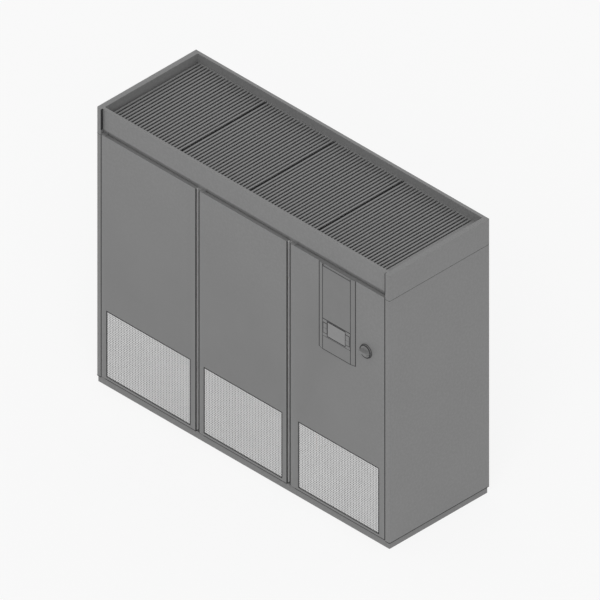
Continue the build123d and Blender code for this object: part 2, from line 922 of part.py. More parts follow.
def make_inlet_nozzles():
    """Bell-mouthed inlet rings that stand on the deck and dip into the fan wheels."""
    wall = eye_radius - throat_gap
    throat = wall - wheel_sheet
    bottom = wheel_bottom + wheel_height - throat_overlap
    top = deck_top + nozzle_bell - nozzle_lip
    bell_z = top - nozzle_bell
    bell_r = throat + nozzle_bell
    slim = nozzle_bell - wheel_sheet
    diagonal = cos(radians(45))
    pieces = []
    for x in fan_x:
        with BuildPart() as nozzle:
            with BuildSketch(Plane(origin=(x, fan_y, 0), x_dir=(1, 0, 0), z_dir=(0, -1, 0))):
                with BuildLine():
                    inner = ThreePointArc(
                        (throat, bell_z),
                        (bell_r - nozzle_bell * diagonal, bell_z + nozzle_bell * diagonal),
                        (bell_r, top),
                    )
                    outer = ThreePointArc(
                        (wall, bell_z),
                        (bell_r - slim * diagonal, bell_z + slim * diagonal),
                        (bell_r, top - wheel_sheet),
                    )
                    Polyline(inner @ 0, (throat, bottom), (wall, bottom), outer @ 0)
                    Polyline(
                        inner @ 1,
                        (nozzle_flange_radius, top),
                        (nozzle_flange_radius, deck_top),
                        (nozzle_flange_radius - wheel_sheet, deck_top),
                        (nozzle_flange_radius - wheel_sheet, top - wheel_sheet),
                        outer @ 1,
                    )
                make_face()
            revolve(axis=Axis((x, fan_y, 0), (0, 0, 1)))
        pieces.append(nozzle.part)
    return Compound(children=pieces)


def polar(radius, angle):
    """Point at a radius and an angle in degrees."""
    return radius * cos(radians(angle)), radius * sin(radians(angle))


def shroud_curve(shift):
    """Flared meridian of the wheel's shroud, moved outwards, drawn in the line being built."""
    rim = wheel_bottom + wheel_outlet + shift
    top = wheel_bottom + wheel_height
    eye = eye_radius + shift
    return Bezier(
        (eye, top),
        (eye, rim + shroud_throat),
        (eye + shroud_flare, rim + shroud_rise),
        (wheel_radius, rim),
    )


def make_fan_wheel(x):
    """Plug fan wheel: backward-curved blades between a back disc and a flared shroud."""
    back = wheel_bottom
    clear_top = back + wheel_height + wheel_sheet
    clear_radius = wheel_radius + wheel_sheet
    centre = Plane(origin=(x, fan_y, back))
    meridian = Plane(origin=(x, fan_y, 0), x_dir=(1, 0, 0), z_dir=(0, -1, 0))
    spin = Axis((x, fan_y, 0), (0, 0, 1))
    with BuildPart() as wheel:
        with BuildSketch(centre):
            with PolarLocations(0, wheel_blades):
                with BuildLine():
                    inner = polar(blade_inner_radius, 0)
                    outer = polar(blade_outer_radius, -blade_sweep)
                    SagittaArc(inner, outer, blade_bulge)
                    SagittaArc(inner, outer, blade_bulge - blade_body)
                make_face()
        extrude(amount=wheel_height)
        with BuildSketch(meridian):
            with BuildLine():
                edge = shroud_curve(wheel_sheet / 2)
                Polyline(
                    edge @ 1,
                    (clear_radius, (edge @ 1).Y),
                    (clear_radius, clear_top),
                    ((edge @ 0).X, clear_top),
                    edge @ 0,
                )
            make_face()
        revolve(axis=spin, mode=Mode.SUBTRACT)
        with BuildSketch(meridian):
            with BuildLine():
                under = shroud_curve(0)
                over = shroud_curve(wheel_sheet)
                Line(under @ 0, over @ 0)
                Line(under @ 1, over @ 1)
            make_face()
        revolve(axis=spin)
        with BuildSketch(meridian):
            with BuildLine():
                Polyline(
                    (0, back),
                    (wheel_radius, back),
                    (wheel_radius, back + wheel_sheet),
                    (hub_radius + hub_height, back + wheel_sheet),
                    (hub_radius, back + hub_height),
                    (0, back + hub_height),
                    close=True,
                )
            make_face()
        revolve(axis=spin)
        rod((x, fan_y, back - shaft_reach), (x, fan_y, back), shaft_radius)
    return wheel.part


def make_fan_motor(x):
    """Finned motor with a bore for the wheel's shaft, hung from the deck on four struts."""
    top = wheel_bottom - motor_gap
    bottom = top - motor_height
    bore = shaft_radius + running_clearance
    with BuildPart() as motor:
        rod((x, fan_y, bottom), (x, fan_y, top), motor_radius)
        with BuildSketch(Plane(origin=(x, fan_y, bottom))):
            with PolarLocations(motor_radius, motor_fins):
                Rectangle(2 * motor_fin_reach, motor_fin_thickness)
        extrude(amount=motor_height - motor_fin_reach)
        with BuildSketch(Plane(origin=(x, fan_y, bottom - arm_height))):
            Rectangle(2 * strut_reach, arm_width, rotation=45)
            Rectangle(2 * strut_reach, arm_width, rotation=-45)
            Circle(motor_radius)
        extrude(amount=arm_height)
        bore_foot = wheel_bottom - shaft_reach - motor_gap
        rod((x, fan_y, bore_foot), (x, fan_y, top), bore, Mode.SUBTRACT)
    pieces = [motor.part]
    for quarter in range(4):
        reach_x, reach_y = polar(strut_reach - arm_width / 2, 45 + 90 * quarter)
        foot = (x + reach_x, fan_y + reach_y, bottom)
        with BuildPart() as strut:
            rod(foot, (foot[0], foot[1], deck_height), strut_radius)
        pieces.append(strut.part)
    return Compound(children=pieces)


# Cooling coil


def slab_line(side):
    """Foot and head of a coil slab's middle line, as distance back and height."""
    foot = fan_y + side * coil_foot_spread
    head = fan_y + side * coil_head_spread
    return (foot, coil_foot_height), (head, coil_head_height)


def slab_length():
    """Length of a coil slab up its slope."""
    (foot_y, foot_z), (head_y, head_z) = slab_line(-1)
    return hypot(head_y - foot_y, head_z - foot_z)


def slab_plane(side):
    """Plane through the middle of a coil slab, X along the cabinet and Y up the slope."""
    (foot_y, foot_z), (head_y, head_z) = slab_line(side)
    middle = ((coil_left + coil_right) / 2, (foot_y + head_y) / 2, (foot_z + head_z) / 2)
    return Plane(origin=middle, x_dir=(1, 0, 0), z_dir=(0, foot_z - head_z, head_y - foot_y))


def make_coil_slab(side):
    """Finned slab in a folded casing, one leg of the A-frame."""
    length = coil_right - coil_left
    fins = int((length - 2 * coil_casing) // fin_pitch)
    gap_size = (fin_pitch - fin_thickness, slab_length() - 2 * coil_casing)
    with BuildPart() as slab:
        with BuildSketch(slab_plane(side)):
            Rectangle(length, slab_length())
            with GridLocations(fin_pitch, 0, fins, 1):
                Rectangle(*gap_size, mode=Mode.SUBTRACT)
        extrude(amount=coil_thickness / 2, both=True)
    return slab.part


def make_coil_end_plates():
    """Plates on the fan deck that close and carry the two ends of the A-frame."""
    foot = coil_foot_spread + tray_width / 2
    head = coil_head_spread + coil_thickness
    head_z = coil_head_height + coil_casing
    pieces = []
    for x in (coil_left - heavy_sheet, coil_right):
        with BuildPart() as plate:
            with BuildSketch(Plane(origin=(x, fan_y, 0), x_dir=(0, 1, 0), z_dir=(1, 0, 0))):
                with BuildLine():
                    Polyline(
                        (-foot, deck_top),
                        (foot, deck_top),
                        (foot, coil_foot_height),
                        (head, head_z),
                        (-head, head_z),
                        (-foot, coil_foot_height),
                        close=True,
                    )
                make_face()
            extrude(amount=heavy_sheet)
        pieces.append(plate.part)
    return Compound(children=pieces)


def make_drain_trays():
    """Open condensate troughs on the deck under the feet of the coil."""
    pieces = []
    for side in (-1, 1):
        y_span = around(fan_y + side * coil_foot_spread, tray_width)
        with BuildPart() as tray:
            bar((coil_left, coil_right), y_span, (deck_top, deck_top + tray_height))
            inside = (coil_left + sheet, coil_right - sheet)
            y_inside = (y_span[0] + sheet, y_span[1] - sheet)
            bar(inside, y_inside, (deck_top + sheet, deck_top + tray_height), Mode.SUBTRACT)
        pieces.append(tray.part)
    return Compound(children=pieces)


def header_point(side, share):
    """Point on a header at a share of the way up its slab."""
    (foot_y, foot_z), (head_y, head_z) = slab_line(side)
    x = coil_right + heavy_sheet + header_stand_off
    return x, foot_y + share * (head_y - foot_y), foot_z + share * (head_z - foot_z)


def make_coil_headers():
    """A header tube beside each slab with feed stubs and an outlet to the technical bay."""
    stub_step = (1 - 2 * header_stub_start) / (header_stubs - 1)
    pieces = []
    for side in (-1, 1):
        with BuildPart() as header:
            rod(header_point(side, header_end), header_point(side, 1 - header_end), header_radius)
            for stub in range(header_stubs):
                end = header_point(side, header_stub_start + stub * stub_step)
                rod((coil_right + heavy_sheet, end[1], end[2]), end, stub_tube_radius)
            low = header_point(side, header_end)
            rod(low, (low[0] + header_outlet, low[1], low[2]), gas_radius)
        pieces.append(header.part)
    return Compound(children=pieces)


def make_heaters():
    """Reheat rods that cross the inside of the A-frame above the fans."""
    pieces = []
    for step in (-1, 0, 1):
        y = fan_y + step * heater_spacing
        with BuildPart() as heater:
            rod((coil_left, y, heater_height), (coil_right, y, heater_height), heater_radius)
        pieces.append(heater.part)
    return Compound(children=pieces)


# Technical bay


def make_bulkhead():
    """Sheet wall between the air path and the technical bay, pierced for the headers and steam."""
    low_x, high_x = around(bulkhead_x, sheet)
    hose = (steam_y, steam_base + steam_height + steam_neck / 2)
    holes = [(header_point(side, header_end)[1:], gas_radius) for side in (-1, 1)]
    with BuildPart() as wall:
        bar((low_x, high_x), (post_back, rear_post_front), (floor_top, case_top))
        for (y, z), radius in holes + [(hose, steam_hose_radius)]:
            rod((low_x, y, z), (high_x, y, z), radius + pipe_gap, Mode.SUBTRACT)
    return wall.part


def make_compressor(x):
    """Hermetic scroll compressor on rubber feet with a domed head and two pipe bosses."""
    foot = floor_top + compressor_foot
    top = foot + compressor_height
    shoulder = top - compressor_dome
    r = compressor_radius
    with BuildPart() as can:
        with BuildSketch(Plane(origin=(x, compressor_y, 0), x_dir=(1, 0, 0), z_dir=(0, -1, 0))):
            with BuildLine():
                Polyline(
                    (0, foot),
                    (r - compressor_dome / 2, foot),
                    (r, foot + compressor_dome / 2),
                    (r, shoulder),
                )
                dome = ThreePointArc(
                    (r, shoulder),
                    (r * dome_shoulder, top - compressor_dome * dome_drop),
                    (0, top),
                )
                Line(dome @ 1, (0, foot))
            make_face()
        revolve(axis=Axis((x, compressor_y, 0), (0, 0, 1)))
        plate_y = around(compressor_y, compressor_plate)
        bar(around(x, compressor_plate), plate_y, (foot, foot + heavy_sheet))
        feet = compressor_plate - 2 * compressor_foot
        with BuildSketch(Plane(origin=(x, compressor_y, floor_top))):
            with GridLocations(feet, feet, 2, 2):
                Circle(compressor_foot / 2)
        extrude(amount=compressor_foot)
        head = (x, compressor_y, top + boss_reach)
        rod((x, compressor_y, shoulder), head, liquid_radius + stub_wall)
        side = (x, compressor_y, foot + suction_height)
        boss = (x - r - boss_reach, compressor_y, foot + suction_height)
        rod(side, boss, gas_radius + stub_wall)
    return can.part


def pipe(points, radius):
    """A bent copper pipe through the given points."""
    with BuildPart() as tube:
        with BuildLine() as route:
            FilletPolyline(*points, radius=pipe_bend)
        with BuildSketch(Plane(origin=route.line @ 0, z_dir=route.line % 0)):
            Circle(radius)
        sweep()
    return tube.part


def suction_route(side, compressor, column_x, level):
    """Corners of a suction pipe from a header outlet down to a compressor's side boss."""
    start = header_point(side, header_end)
    x, y, z = start[0] + header_outlet, start[1], start[2]
    boss_x = compressor_x[compressor] - compressor_radius - boss_reach
    boss_z = floor_top + compressor_foot + suction_height
    if compressor:
        first_x = x + 2 * pipe_bend
        route = [(x, y, z), (first_x, y, z), (first_x, y, level), (column_x, y, level)]
        route += [(column_x, y, boss_z), (column_x, compressor_y, boss_z)]
    else:
        route = [(x, y, z), (column_x, y, z), (column_x, y, level)]
        route += [(column_x, compressor_y, level), (column_x, compressor_y, boss_z)]
    return route + [(boss_x, compressor_y, boss_z)]


def discharge_route(compressor, stub_x, level):
    """Corners of a discharge pipe from a compressor's head to a stub of the service recess."""
    x = compressor_x[compressor]
    head = floor_top + compressor_foot + compressor_height + boss_reach
    recess_y = back_y - sheet - service_depth
    y = recess_y - discharge_stand_off
    route = [(x, compressor_y, head), (x, compressor_y, level), (x, y, level)]
    return route + [(stub_x, y, level), (stub_x, y, service_z), (stub_x, recess_y, service_z)]


def make_refrigerant_pipes():
    """Suction pipes from the headers and discharge pipes to the rear service recess."""
    head = floor_top + compressor_foot + compressor_height
    pieces = [
        pipe(suction_route(-1, 0, suction_column_x[0], suction_level[0]), gas_radius),
        pipe(suction_route(1, 1, suction_column_x[1], suction_level[1]), gas_radius),
        pipe(discharge_route(0, gas_stub_x, head + discharge_rise), liquid_radius),
        pipe(discharge_route(1, liquid_stub_x, head + 2 * discharge_rise), liquid_radius),
    ]
    return Compound(children=pieces)


def make_electrical_board():
    """Open-fronted electrical tray on the uprights behind the right-hand door."""
    with BuildPart() as board:
        bar((board_left, board_right), (post_back, board_y), (board_bottom, board_top))
        inside = (board_left + sheet, board_right - sheet)
        z_inside = (board_bottom + sheet, board_top - sheet)
        bar(inside, (post_back, board_y - sheet), z_inside, Mode.SUBTRACT)
    return board.part


def make_isolator_switch():
    """Main isolator on the board with a bore for its shaft."""
    wall = board_y - sheet
    face = wall - switch_depth
    mouth_x = around(isolator_x, switch_width - 2 * switch_cheek)
    with BuildPart() as switch:
        bar(around(isolator_x, switch_width), (face, wall), around(isolator_z, switch_height))
        fillet(switch.edges().filter_by(Axis.Z).group_by(Axis.Y)[0], case_edge)
        for side in (-1, 1):
            mouth_z = around(isolator_z + side * switch_height / 2, switch_mouth)
            bar(mouth_x, (face, face + switch_mouth), mouth_z, Mode.SUBTRACT)
        rod(
            (isolator_x, face, isolator_z),
            (isolator_x, face + shaft_bar_seat + shaft_bar_gap, isolator_z),
            shaft_bar_radius + running_clearance,
            Mode.SUBTRACT,
        )
    return switch.part


def make_device_row(z, count, width, height, depth):
    """Row of stepped switching devices clipped side by side on a rail of the board."""
    left = board_left + device_margin
    pitch = width + device_gap
    wall = board_y - sheet
    front = wall - rail_depth
    pieces = []
    with BuildPart() as rail:
        bar((left - device_gap, left + count * pitch), (front, wall), around(z, rail_width))
    pieces.append(rail.part)
    for index in range(count):
        x_span = (left + index * pitch, left + index * pitch + width)
        with BuildPart() as device:
            bar(x_span, (front - device_shoulder * depth, front), around(z, height))
            bar(x_span, (front - depth, front), around(z, height / 2))
        pieces.append(device.part)
    return pieces


def make_contactors():
    """The row of contactors and breakers."""
    size = (contactor_width, contactor_height, contactor_depth)
    return make_device_row(contactor_z, contactor_count, *size)


def make_terminals():
    """The row of terminals under the contactors."""
    size = (terminal_width, terminal_height, terminal_depth)
    return make_device_row(terminal_z, terminal_count, *size)


def make_controller():
    """Control unit in a vented case on the board."""
    wall = board_y - sheet
    x_span = (board_left + device_margin, board_left + device_margin + controller_width)
    with BuildPart() as case:
        bar(x_span, (wall - controller_depth, wall), around(controller_z, controller_height))
        fillet(case.edges().filter_by(Axis.Z).group_by(Axis.Y)[0], case_edge)
        with BuildSketch(Plane.XZ.offset(-(wall - controller_depth))):
            with Locations((sum(x_span) / 2, controller_z)):
                with GridLocations(vent_pitch, 0, vent_count, 1):
                    Rectangle(vent_width, controller_height * vent_share)
        extrude(amount=-vent_depth, mode=Mode.SUBTRACT)
    return case.part


def make_humidifier():
    """Steam cylinder with its domed ends and a hose through the bulkhead."""
    top = steam_base + steam_height
    with BuildPart() as steam:
        rod((steam_x, steam_y, steam_base), (steam_x, steam_y, top), steam_radius)
        fillet(steam.edges().filter_by(GeomType.CIRCLE), steam_edge)
        neck = (steam_x, steam_y, top + steam_neck)
        rod((steam_x, steam_y, steam_base + steam_edge), neck, steam_hose_radius + neck_wall)
        hose_z = top + steam_neck / 2
        rod((air_right - hose_reach, steam_y, hose_z), (steam_x, steam_y, hose_z), steam_hose_radius)
    return steam.part


def make_humidifier_shelf():
    """Bracket on the bulkhead that carries the steam cylinder."""
    wall_x = bulkhead_x + sheet / 2
    far_x = steam_x + steam_radius
    y_span = around(steam_y, 2 * steam_radius)
    with BuildPart() as shelf:
        bar((wall_x, far_x), y_span, (steam_base - heavy_sheet, steam_base))
        bar((wall_x, wall_x + heavy_sheet), y_span, (steam_base - shelf_drop, steam_base))
        for y in (y_span[0], y_span[1] - heavy_sheet):
            with BuildSketch(Plane.XZ.offset(-y)):
                with BuildLine():
                    Polyline(
                        (wall_x, steam_base - heavy_sheet),
                        (far_x, steam_base - heavy_sheet),
                        (wall_x, steam_base - shelf_drop),
                        close=True,
                    )
                make_face()
            extrude(amount=-heavy_sheet)
    return shelf.part


os.makedirs("parts", exist_ok=True)

save(make_base_frame(), "base_frame")
save(make_floor_pan(), "floor_pan")
save(make_uprights(), "frame_uprights")
save(make_top_rails(), "top_rails")
save(make_end_panel(-1), "left_end_panel")
save(make_end_panel(1), "right_end_panel")
save(make_hood_cap(-1), "hood_left_cap")
save(make_hood_cap(1), "hood_right_cap")
save(make_hood_back(), "hood_back_panel")
save(make_hood_fascia(), "hood_front_fascia")
save(make_filler_strip(), "hood_filler_strip")
save(make_back_panels(), "back_panels")
save(make_service_recess(), "service_recess")
save(make_filter_rack(), "filter_rack")
for number in range(module_count):
    save(make_louvre(number), f"louvre_grille_{number + 1}")
    save(make_filter(number), f"filter_{number + 1}")

for door_name in doors:
    save(make_door_panel(door_name), f"door_{door_name}_panel")
    save(make_door_lining(door_name), f"door_{door_name}_lining")
    save(make_door_grille(door_name), f"door_{door_name}_grille")
save(make_door_fittings(), "door_fittings")

save(make_display_bezel(), "display_bezel")
save(make_display_housing(), "display_housing")
save(make_display_screen(), "display_screen")
for number, place in enumerate(key_places()):
    save(make_key(*place), f"key_{number + 1}")
save(make_isolator_handle(), "isolator_handle")
save(make_isolator_shaft(), "isolator_shaft")

save(make_fan_deck(), "fan_deck")
save(make_inlet_nozzles(), "fan_inlet_nozzles")
for fan_name, place in zip(("left", "middle"), fan_x):
    save(make_fan_wheel(place), f"fan_wheel_{fan_name}")
    save(make_fan_motor(place), f"fan_motor_{fan_name}")

save(Compound(children=[make_coil_slab(side) for side in (-1, 1)]), "coil_slabs")
save(make_coil_end_plates(), "coil_end_plates")
save(make_coil_headers(), "coil_headers")
save(make_drain_trays(), "drain_trays")
save(make_heaters(), "reheat_rods")

save(Compound(children=[make_bulkhead(), make_humidifier_shelf()]), "technical_bulkhead")
save(Compound(children=[make_compressor(x) for x in compressor_x]), "compressors")
save(make_refrigerant_pipes(), "refrigerant_pipes")
save(make_electrical_board(), "electrical_board")
save(make_isolator_switch(), "isolator_switch")
save(Compound(children=make_contactors() + make_terminals()), "switchgear")
save(make_controller(), "controller")
save(make_humidifier(), "humidifier_cylinder")
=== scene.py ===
import math

import bmesh
import bpy
from mathutils import Matrix, Vector


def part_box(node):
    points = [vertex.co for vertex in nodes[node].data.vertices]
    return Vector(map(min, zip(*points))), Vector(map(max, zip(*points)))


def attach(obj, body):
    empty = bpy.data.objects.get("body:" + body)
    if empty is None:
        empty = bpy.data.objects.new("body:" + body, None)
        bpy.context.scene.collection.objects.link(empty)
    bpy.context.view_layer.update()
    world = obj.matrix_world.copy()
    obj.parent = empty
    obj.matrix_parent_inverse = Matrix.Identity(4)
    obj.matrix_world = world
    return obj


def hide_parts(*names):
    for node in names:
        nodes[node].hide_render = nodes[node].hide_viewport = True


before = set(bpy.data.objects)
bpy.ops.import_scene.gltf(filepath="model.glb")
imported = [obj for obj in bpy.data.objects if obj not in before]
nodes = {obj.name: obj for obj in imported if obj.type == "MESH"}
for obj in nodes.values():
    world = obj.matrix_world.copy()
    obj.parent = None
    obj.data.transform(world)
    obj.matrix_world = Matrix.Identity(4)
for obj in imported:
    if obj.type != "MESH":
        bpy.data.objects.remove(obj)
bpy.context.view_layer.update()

# Computer room air conditioner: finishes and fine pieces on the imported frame.
# Metres, X to the right seen from the front, Y towards the back, Z up.

# Finishes, as linear colours
SHELL_GREY = (0.212, 0.212, 0.212)
LIGHT_GREY = (0.78, 0.78, 0.78)
WHITE = (1.0, 1.0, 1.0, 1.0)
FLOOR_GREY = (0.86, 0.86, 0.86, 1.0)

# Names that repeat, and the two directions along Y
DOORS = ("left", "middle", "right")
MODULES = (1, 2, 3, 4)
KEYS = (1, 2, 3, 4)
FORWARD = (0, -1, 0)
BACKWARD = (0, 1, 0)

# How an outline's points and the ends of its run are sorted into x, y, z
ALONG_X = (2, 0, 1)
ALONG_Y = (0, 2, 1)
ALONG_Z = (0, 1, 2)

# The photograph is a true isometric view
CAMERA_AZIMUTH = 45.0
CAMERA_ELEVATION = 35.264
CAMERA_SPAN = 3.576
CAMERA_DISTANCE = 9.0
CAMERA_REACH = 60.0
AIM_RIGHT = 0.0429
AIM_UP = 0.8155

# Light and floor
WORLD_LIGHT = 0.56
SUN_DIRECTION = (-0.48, 0.58, -0.66)
SUN_STRENGTH = 0.95
SUN_SPREAD = 40.0
FLOOR_GLOW = 0.85
FLOOR_REACH = 14.0
FLOOR_LEVEL = -0.0005

# The doors' front face, small steps between pieces, and the radius of folds
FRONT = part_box("door_right_panel")[0][1]
NEAR = 1e-6
PROUD = 0.0003
GAP = 0.0004
STEP = 0.0005
INSET = 0.001
FOLD_RADIUS = 0.0009

# Perforated door sheets, door seals and screws
PERFORATION_PITCH = 0.013
PERFORATION_RADIUS = 0.0043
PERFORATION_MARGIN = 0.0145
PERFORATED_SHEET = 0.0015
GASKET_RADIUS = 0.0024
GASKET_INSET = 0.010
GASKET_BENDS = (0.02, 0.006)
SCREW_RADIUS = 0.0052
SCREW_HEIGHT = 0.0022
SCREW_SIDES = 16
PAN_HEAD_RADII = (0.0, 1.45, 1.45, 1.0, 1.0, 0.75, 0.42, 0.36, 0.0)
PAN_HEAD_HEIGHTS = (0.0, 0.0, 0.3, 0.3, 0.75, 1.0, 1.0, 0.45, 0.45)

# Dark seams of the casing
WINDOW_BORDER = 0.012
TRIM_WIDTH = 0.0055
STRIP_START = 0.036
STRIP_HEIGHT = 0.0055
END_SEAL_HEIGHT = 0.006
END_SEAL_INSET = 0.0006
END_SEAL_CUT = 0.0075
END_SEAL_ROUND = 0.3
END_LINE_WIDTH = 0.0011
END_LINE_DEPTH = 0.02
EDGING_WIDTH = 0.003
EDGING_REACH = 0.0026
LOCK_EDGING_DEPTH = 0.006
HINGE_EDGING_DEPTH = 0.005
# Thickness of the pale sheets on the doors' lock edges: painted light that brightens the shaded gaps between
# doors
PAINTED_LIGHT_SHEET = 0.0014

# Lines of the control panel and the isolator dial
LINE_WIDTH = 0.0045
LINE_COVER = 0.0012
LINE_DEPTH = 0.002
BEZEL_LINE_HEIGHT = 0.0009
BEZEL_TOP_COVER = 0.0016
BEZEL_FOOT_COVER = 0.0002
LIP_HEIGHT = 0.005
LEDGE = 0.015
LEDGE_LINE = 0.0022
SCREEN_SIDE_LINE = 0.0022
SCREEN_FOOT_LINE = 0.003
SCREEN_TOP_LINE = 0.006
DIAL_HEIGHT = 0.012
DIAL_SIDES = 48
DIAL_RING_COVER = 0.006
DIAL_RING_REACH = 0.0035
DIAL_RING_HEIGHT = 0.0012
DIAL_BAND_COVER = 0.004
DIAL_BAND_REACH = 0.0007
DIAL_BAND_HEIGHT = 0.0035
DIAL_BAND_SLOPE = 0.0015

# Louvre modules
LOUVRE_PITCH = 0.0255
LOUVRE_LIP = 0.0135
LOUVRE_SHEET = 0.0016
LOUVRE_LEG = 0.014
LOUVRE_DEPTH = 0.017
LOUVRE_RETURN = 0.005
LOUVRE_END_RAIL = 0.006
LOUVRE_SIDE_DROP = 0.012
LOUVRE_RIBS = (-0.128, 0.135)
LOUVRE_RIB_HALF = 0.0015
LOUVRE_RADIUS = 0.0004
SEAM_SEAL_LENGTH = 0.775
SEAM_SEAL_TOP = 0.003
SEAM_SEAL_FOOT = 0.02

# Coil: the foot and head of a slab are (distance from the middle, height)
COIL_FOOT = (0.285, 0.712)
COIL_HEAD = (0.052, 1.762)
COIL_HALF_THICKNESS = 0.036
COIL_CASING = 0.026
FIN_PITCH = 0.005
FIN_SHEET = 0.0005
FIN_INSET = 0.0025
COIL_TUBE_RADIUS = 0.0048
COIL_TUBE_PITCH = 0.05
COIL_ROW_PITCH = 0.021
COIL_ROW_STAGGER = 0.008
RETURN_BEND_REACH = 0.02
RETURN_BEND_STEPS = 8

# Electrical board: ducts, screws and wires
BOARD_FACE = -0.202
DUCT_DEPTH = 0.052
DUCT_BACK = 0.003
DUCT_COVER = 0.004
DUCT_WALL = 0.0015
DUCT_FINGER = 0.0055
DUCT_FINGER_START = 0.003
DUCT_FINGER_PITCH = 0.009
DUCT_ROWS = ((0.962, 0.992), (1.290, 1.330), (1.690, 1.730))
DUCT_ROW_SPAN = (0.430, 0.922)
DUCT_RISER = (0.926, 0.966)
BOARD_SCREWS = {0.412: (0.957, 1.768), 0.66: (1.768,), 0.90: (1.768,), 1.153: (0.957, 1.768, 1.23, 1.50)}
CONTROLLER_SCREWS = ((0.462, 0.698), (1.472, 1.648))
WIRE_RADIUS = 0.0022
SIGNAL_WIRE_RADIUS = 0.0016
MAINS_WIRE_RADIUS = 0.0038
DEVICE_DEPTH = 0.068
WIRE_DEPTH = 0.03
WIRE_LEAN = 0.004
CONTACTOR_HEIGHTS = (1.141, 1.219)
TERMINAL_HEIGHTS = (1.013, 1.068)
MIDDLE_DUCT_WIRES = 1.293
LOWEST_DUCT_WIRES = 0.990
CONTROLLER_WIRES = (1.463, 1.328)
ISOLATOR_WIRES = 1.304
RISER_WIRES = (0.964, 1.215)
RISER_WIRE_PITCH = 0.02

# Rows of wires: devices, first wire, pitch of the devices, pitch of their wires
CONTACTOR_ROW = (7, 0.461, 0.047, 0.011)
TERMINAL_TOP_ROW = (7, 0.463, 0.055, 0.012)
TERMINAL_FOOT_ROW = (8, 0.463, 0.054, 0.012)
SIGNAL_ROW = (14, 0.475, 0.016, 0.0)
MAINS_ROW = (1, 1.015, 0.0, 0.024)

# Conduits: both ends from a motor or compressor, and the upward pull at each
FAN_CONDUIT = ((0.03, 0.004, 0.004), (0.28, 0.26, 0.054), -0.12, 0.16)
COMPRESSOR_CONDUIT = ((0.0, -0.032, 0.378), (-0.08, -0.215, 0.952), 0.22, -0.22)
CONDUIT_RADIUS = 0.009
CONDUIT_CORE = 0.86
CONDUIT_SIDES = 12
CONDUIT_STEPS = 14
CONDUIT_RIB_PITCH = 0.006
CONDUIT_RIB_HALF = 0.0014

# Compressors, with terminal boxes as (half width, front, foot, back, head), and the back
COMPRESSOR_PLACES = (0.600, 0.930)
TERMINAL_BOX = (0.034, -0.050, 0.296, -0.012, 0.380)
TERMINAL_COVER = (0.037, -0.054, 0.293, -0.048, 0.383)
TERMINAL_RADIUS = 0.003
TERMINAL_SCREW_REACH = 0.027
TERMINAL_SCREW_HEIGHTS = (0.303, 0.373)
SIGHT_PLUG = ((0.0, 0.0), (0.015, 0.0), (0.015, 0.006), (0.010, 0.008), (0.0, 0.007))
SIGHT_PLUG_PLACE = (-0.0155, 0.16)
LOW_HEAD = ((0.0, -0.002), (0.0065, -0.002), (0.0065, 0.0), (0.004, 0.0008), (0.0, 0.0008))
BACK_PANEL_EDGES = (-1.197, -0.384, 0.384, 1.197)
BACK_SCREW_INSET = 0.016
BACK_SCREW_MARGIN = 0.03
BACK_SCREW_ROWS = 6
SERVICE_STUBS = ((0.807, 0.0111), (0.869, 0.008), (0.931, 0.016))
SERVICE_STUB_PLACE = (0.361, 0.240)
GROMMET = ((-0.001, 0.0), (0.008, 0.0), (0.006, 0.004), (-0.001, 0.005))


# Node trees


def feed(tree, target, inputs):
    """Sets inputs of a node to values, or links other nodes' outputs to them."""
    for key, value in inputs.items():
        if isinstance(value, bpy.types.NodeSocket):
            tree.links.new(value, target.inputs[key])
        else:
            target.inputs[key].default_value = value


def node(tree, kind, inputs=None, **settings):
    """A shader node with its settings and inputs."""
    made = tree.nodes.new(kind)
    for key, value in settings.items():
        setattr(made, key, value)
    feed(tree, made, inputs or {})
    return made


def empty_tree(holder):
    """The cleared node tree of a material or a world."""
    holder.use_nodes = True
    holder.node_tree.nodes.clear()
    return holder.node_tree


def start_material(name):
    """A new material with a Principled shader, its tree and the object coordinates."""
    material = bpy.data.materials.new(name)
    tree = empty_tree(material)
    shader = node(tree, "ShaderNodeBsdfPrincipled")
    node(tree, "ShaderNodeOutputMaterial", {"Surface": shader.outputs["BSDF"]})
    place = node(tree, "ShaderNodeTexCoord")
    return material, tree, shader, place.outputs["Object"]


def rgba(colour, scale=1.0):
    """A colour scaled in brightness, with full opacity."""
    return tuple(min(1.0, channel * scale) for channel in colour) + (1.0,)


def noise(tree, place, scale, detail=4.0, roughness=0.55, stretch=None):
    """A noise value over the object, stretched along its axes where asked."""
    if stretch:
        place = node(tree, "ShaderNodeMapping", {"Vector": place, "Scale": stretch}).outputs["Vector"]
    inputs = {"Vector": place, "Scale": scale, "Detail": detail, "Roughness": roughness}
    return node(tree, "ShaderNodeTexNoise", inputs).outputs["Fac"]


def cells(tree, place, scale):
    """The distance to the nearest of many scattered points."""
    return node(tree, "ShaderNodeTexVoronoi", {"Vector": place, "Scale": scale}).outputs["Distance"]


def vary(tree, value, low=0.3, high=0.7, out_low=0.0, out_high=1.0):
    """A value remapped from one range to another and clamped."""
    inputs = {"Value": value, "From Min": low, "From Max": high, "To Min": out_low, "To Max": out_high}
    return node(tree, "ShaderNodeMapRange", inputs).outputs["Result"]


def mix_colour(tree, factor, first, second):
    """A mix of two colours, each a plain colour or the output of a node."""
    made = node(tree, "ShaderNodeMix", {"Factor": factor}, data_type="RGBA")
    for name, colour in (("A", first), ("B", second)):
        pick = [k for k, socket in enumerate(made.inputs) if (socket.name, socket.type) == (name, "RGBA")][0]
        feed(tree, made, {pick: colour})
    return [socket for socket in made.outputs if socket.type == "RGBA"][0]


def add_bump(tree, shader, height, strength, distance):
    """Bump on the shader's normal from a height value."""
    inputs = {"Height": height, "Strength": strength, "Distance": distance}
    feed(tree, shader, {"Normal": node(tree, "ShaderNodeBump", inputs).outputs["Normal"]})


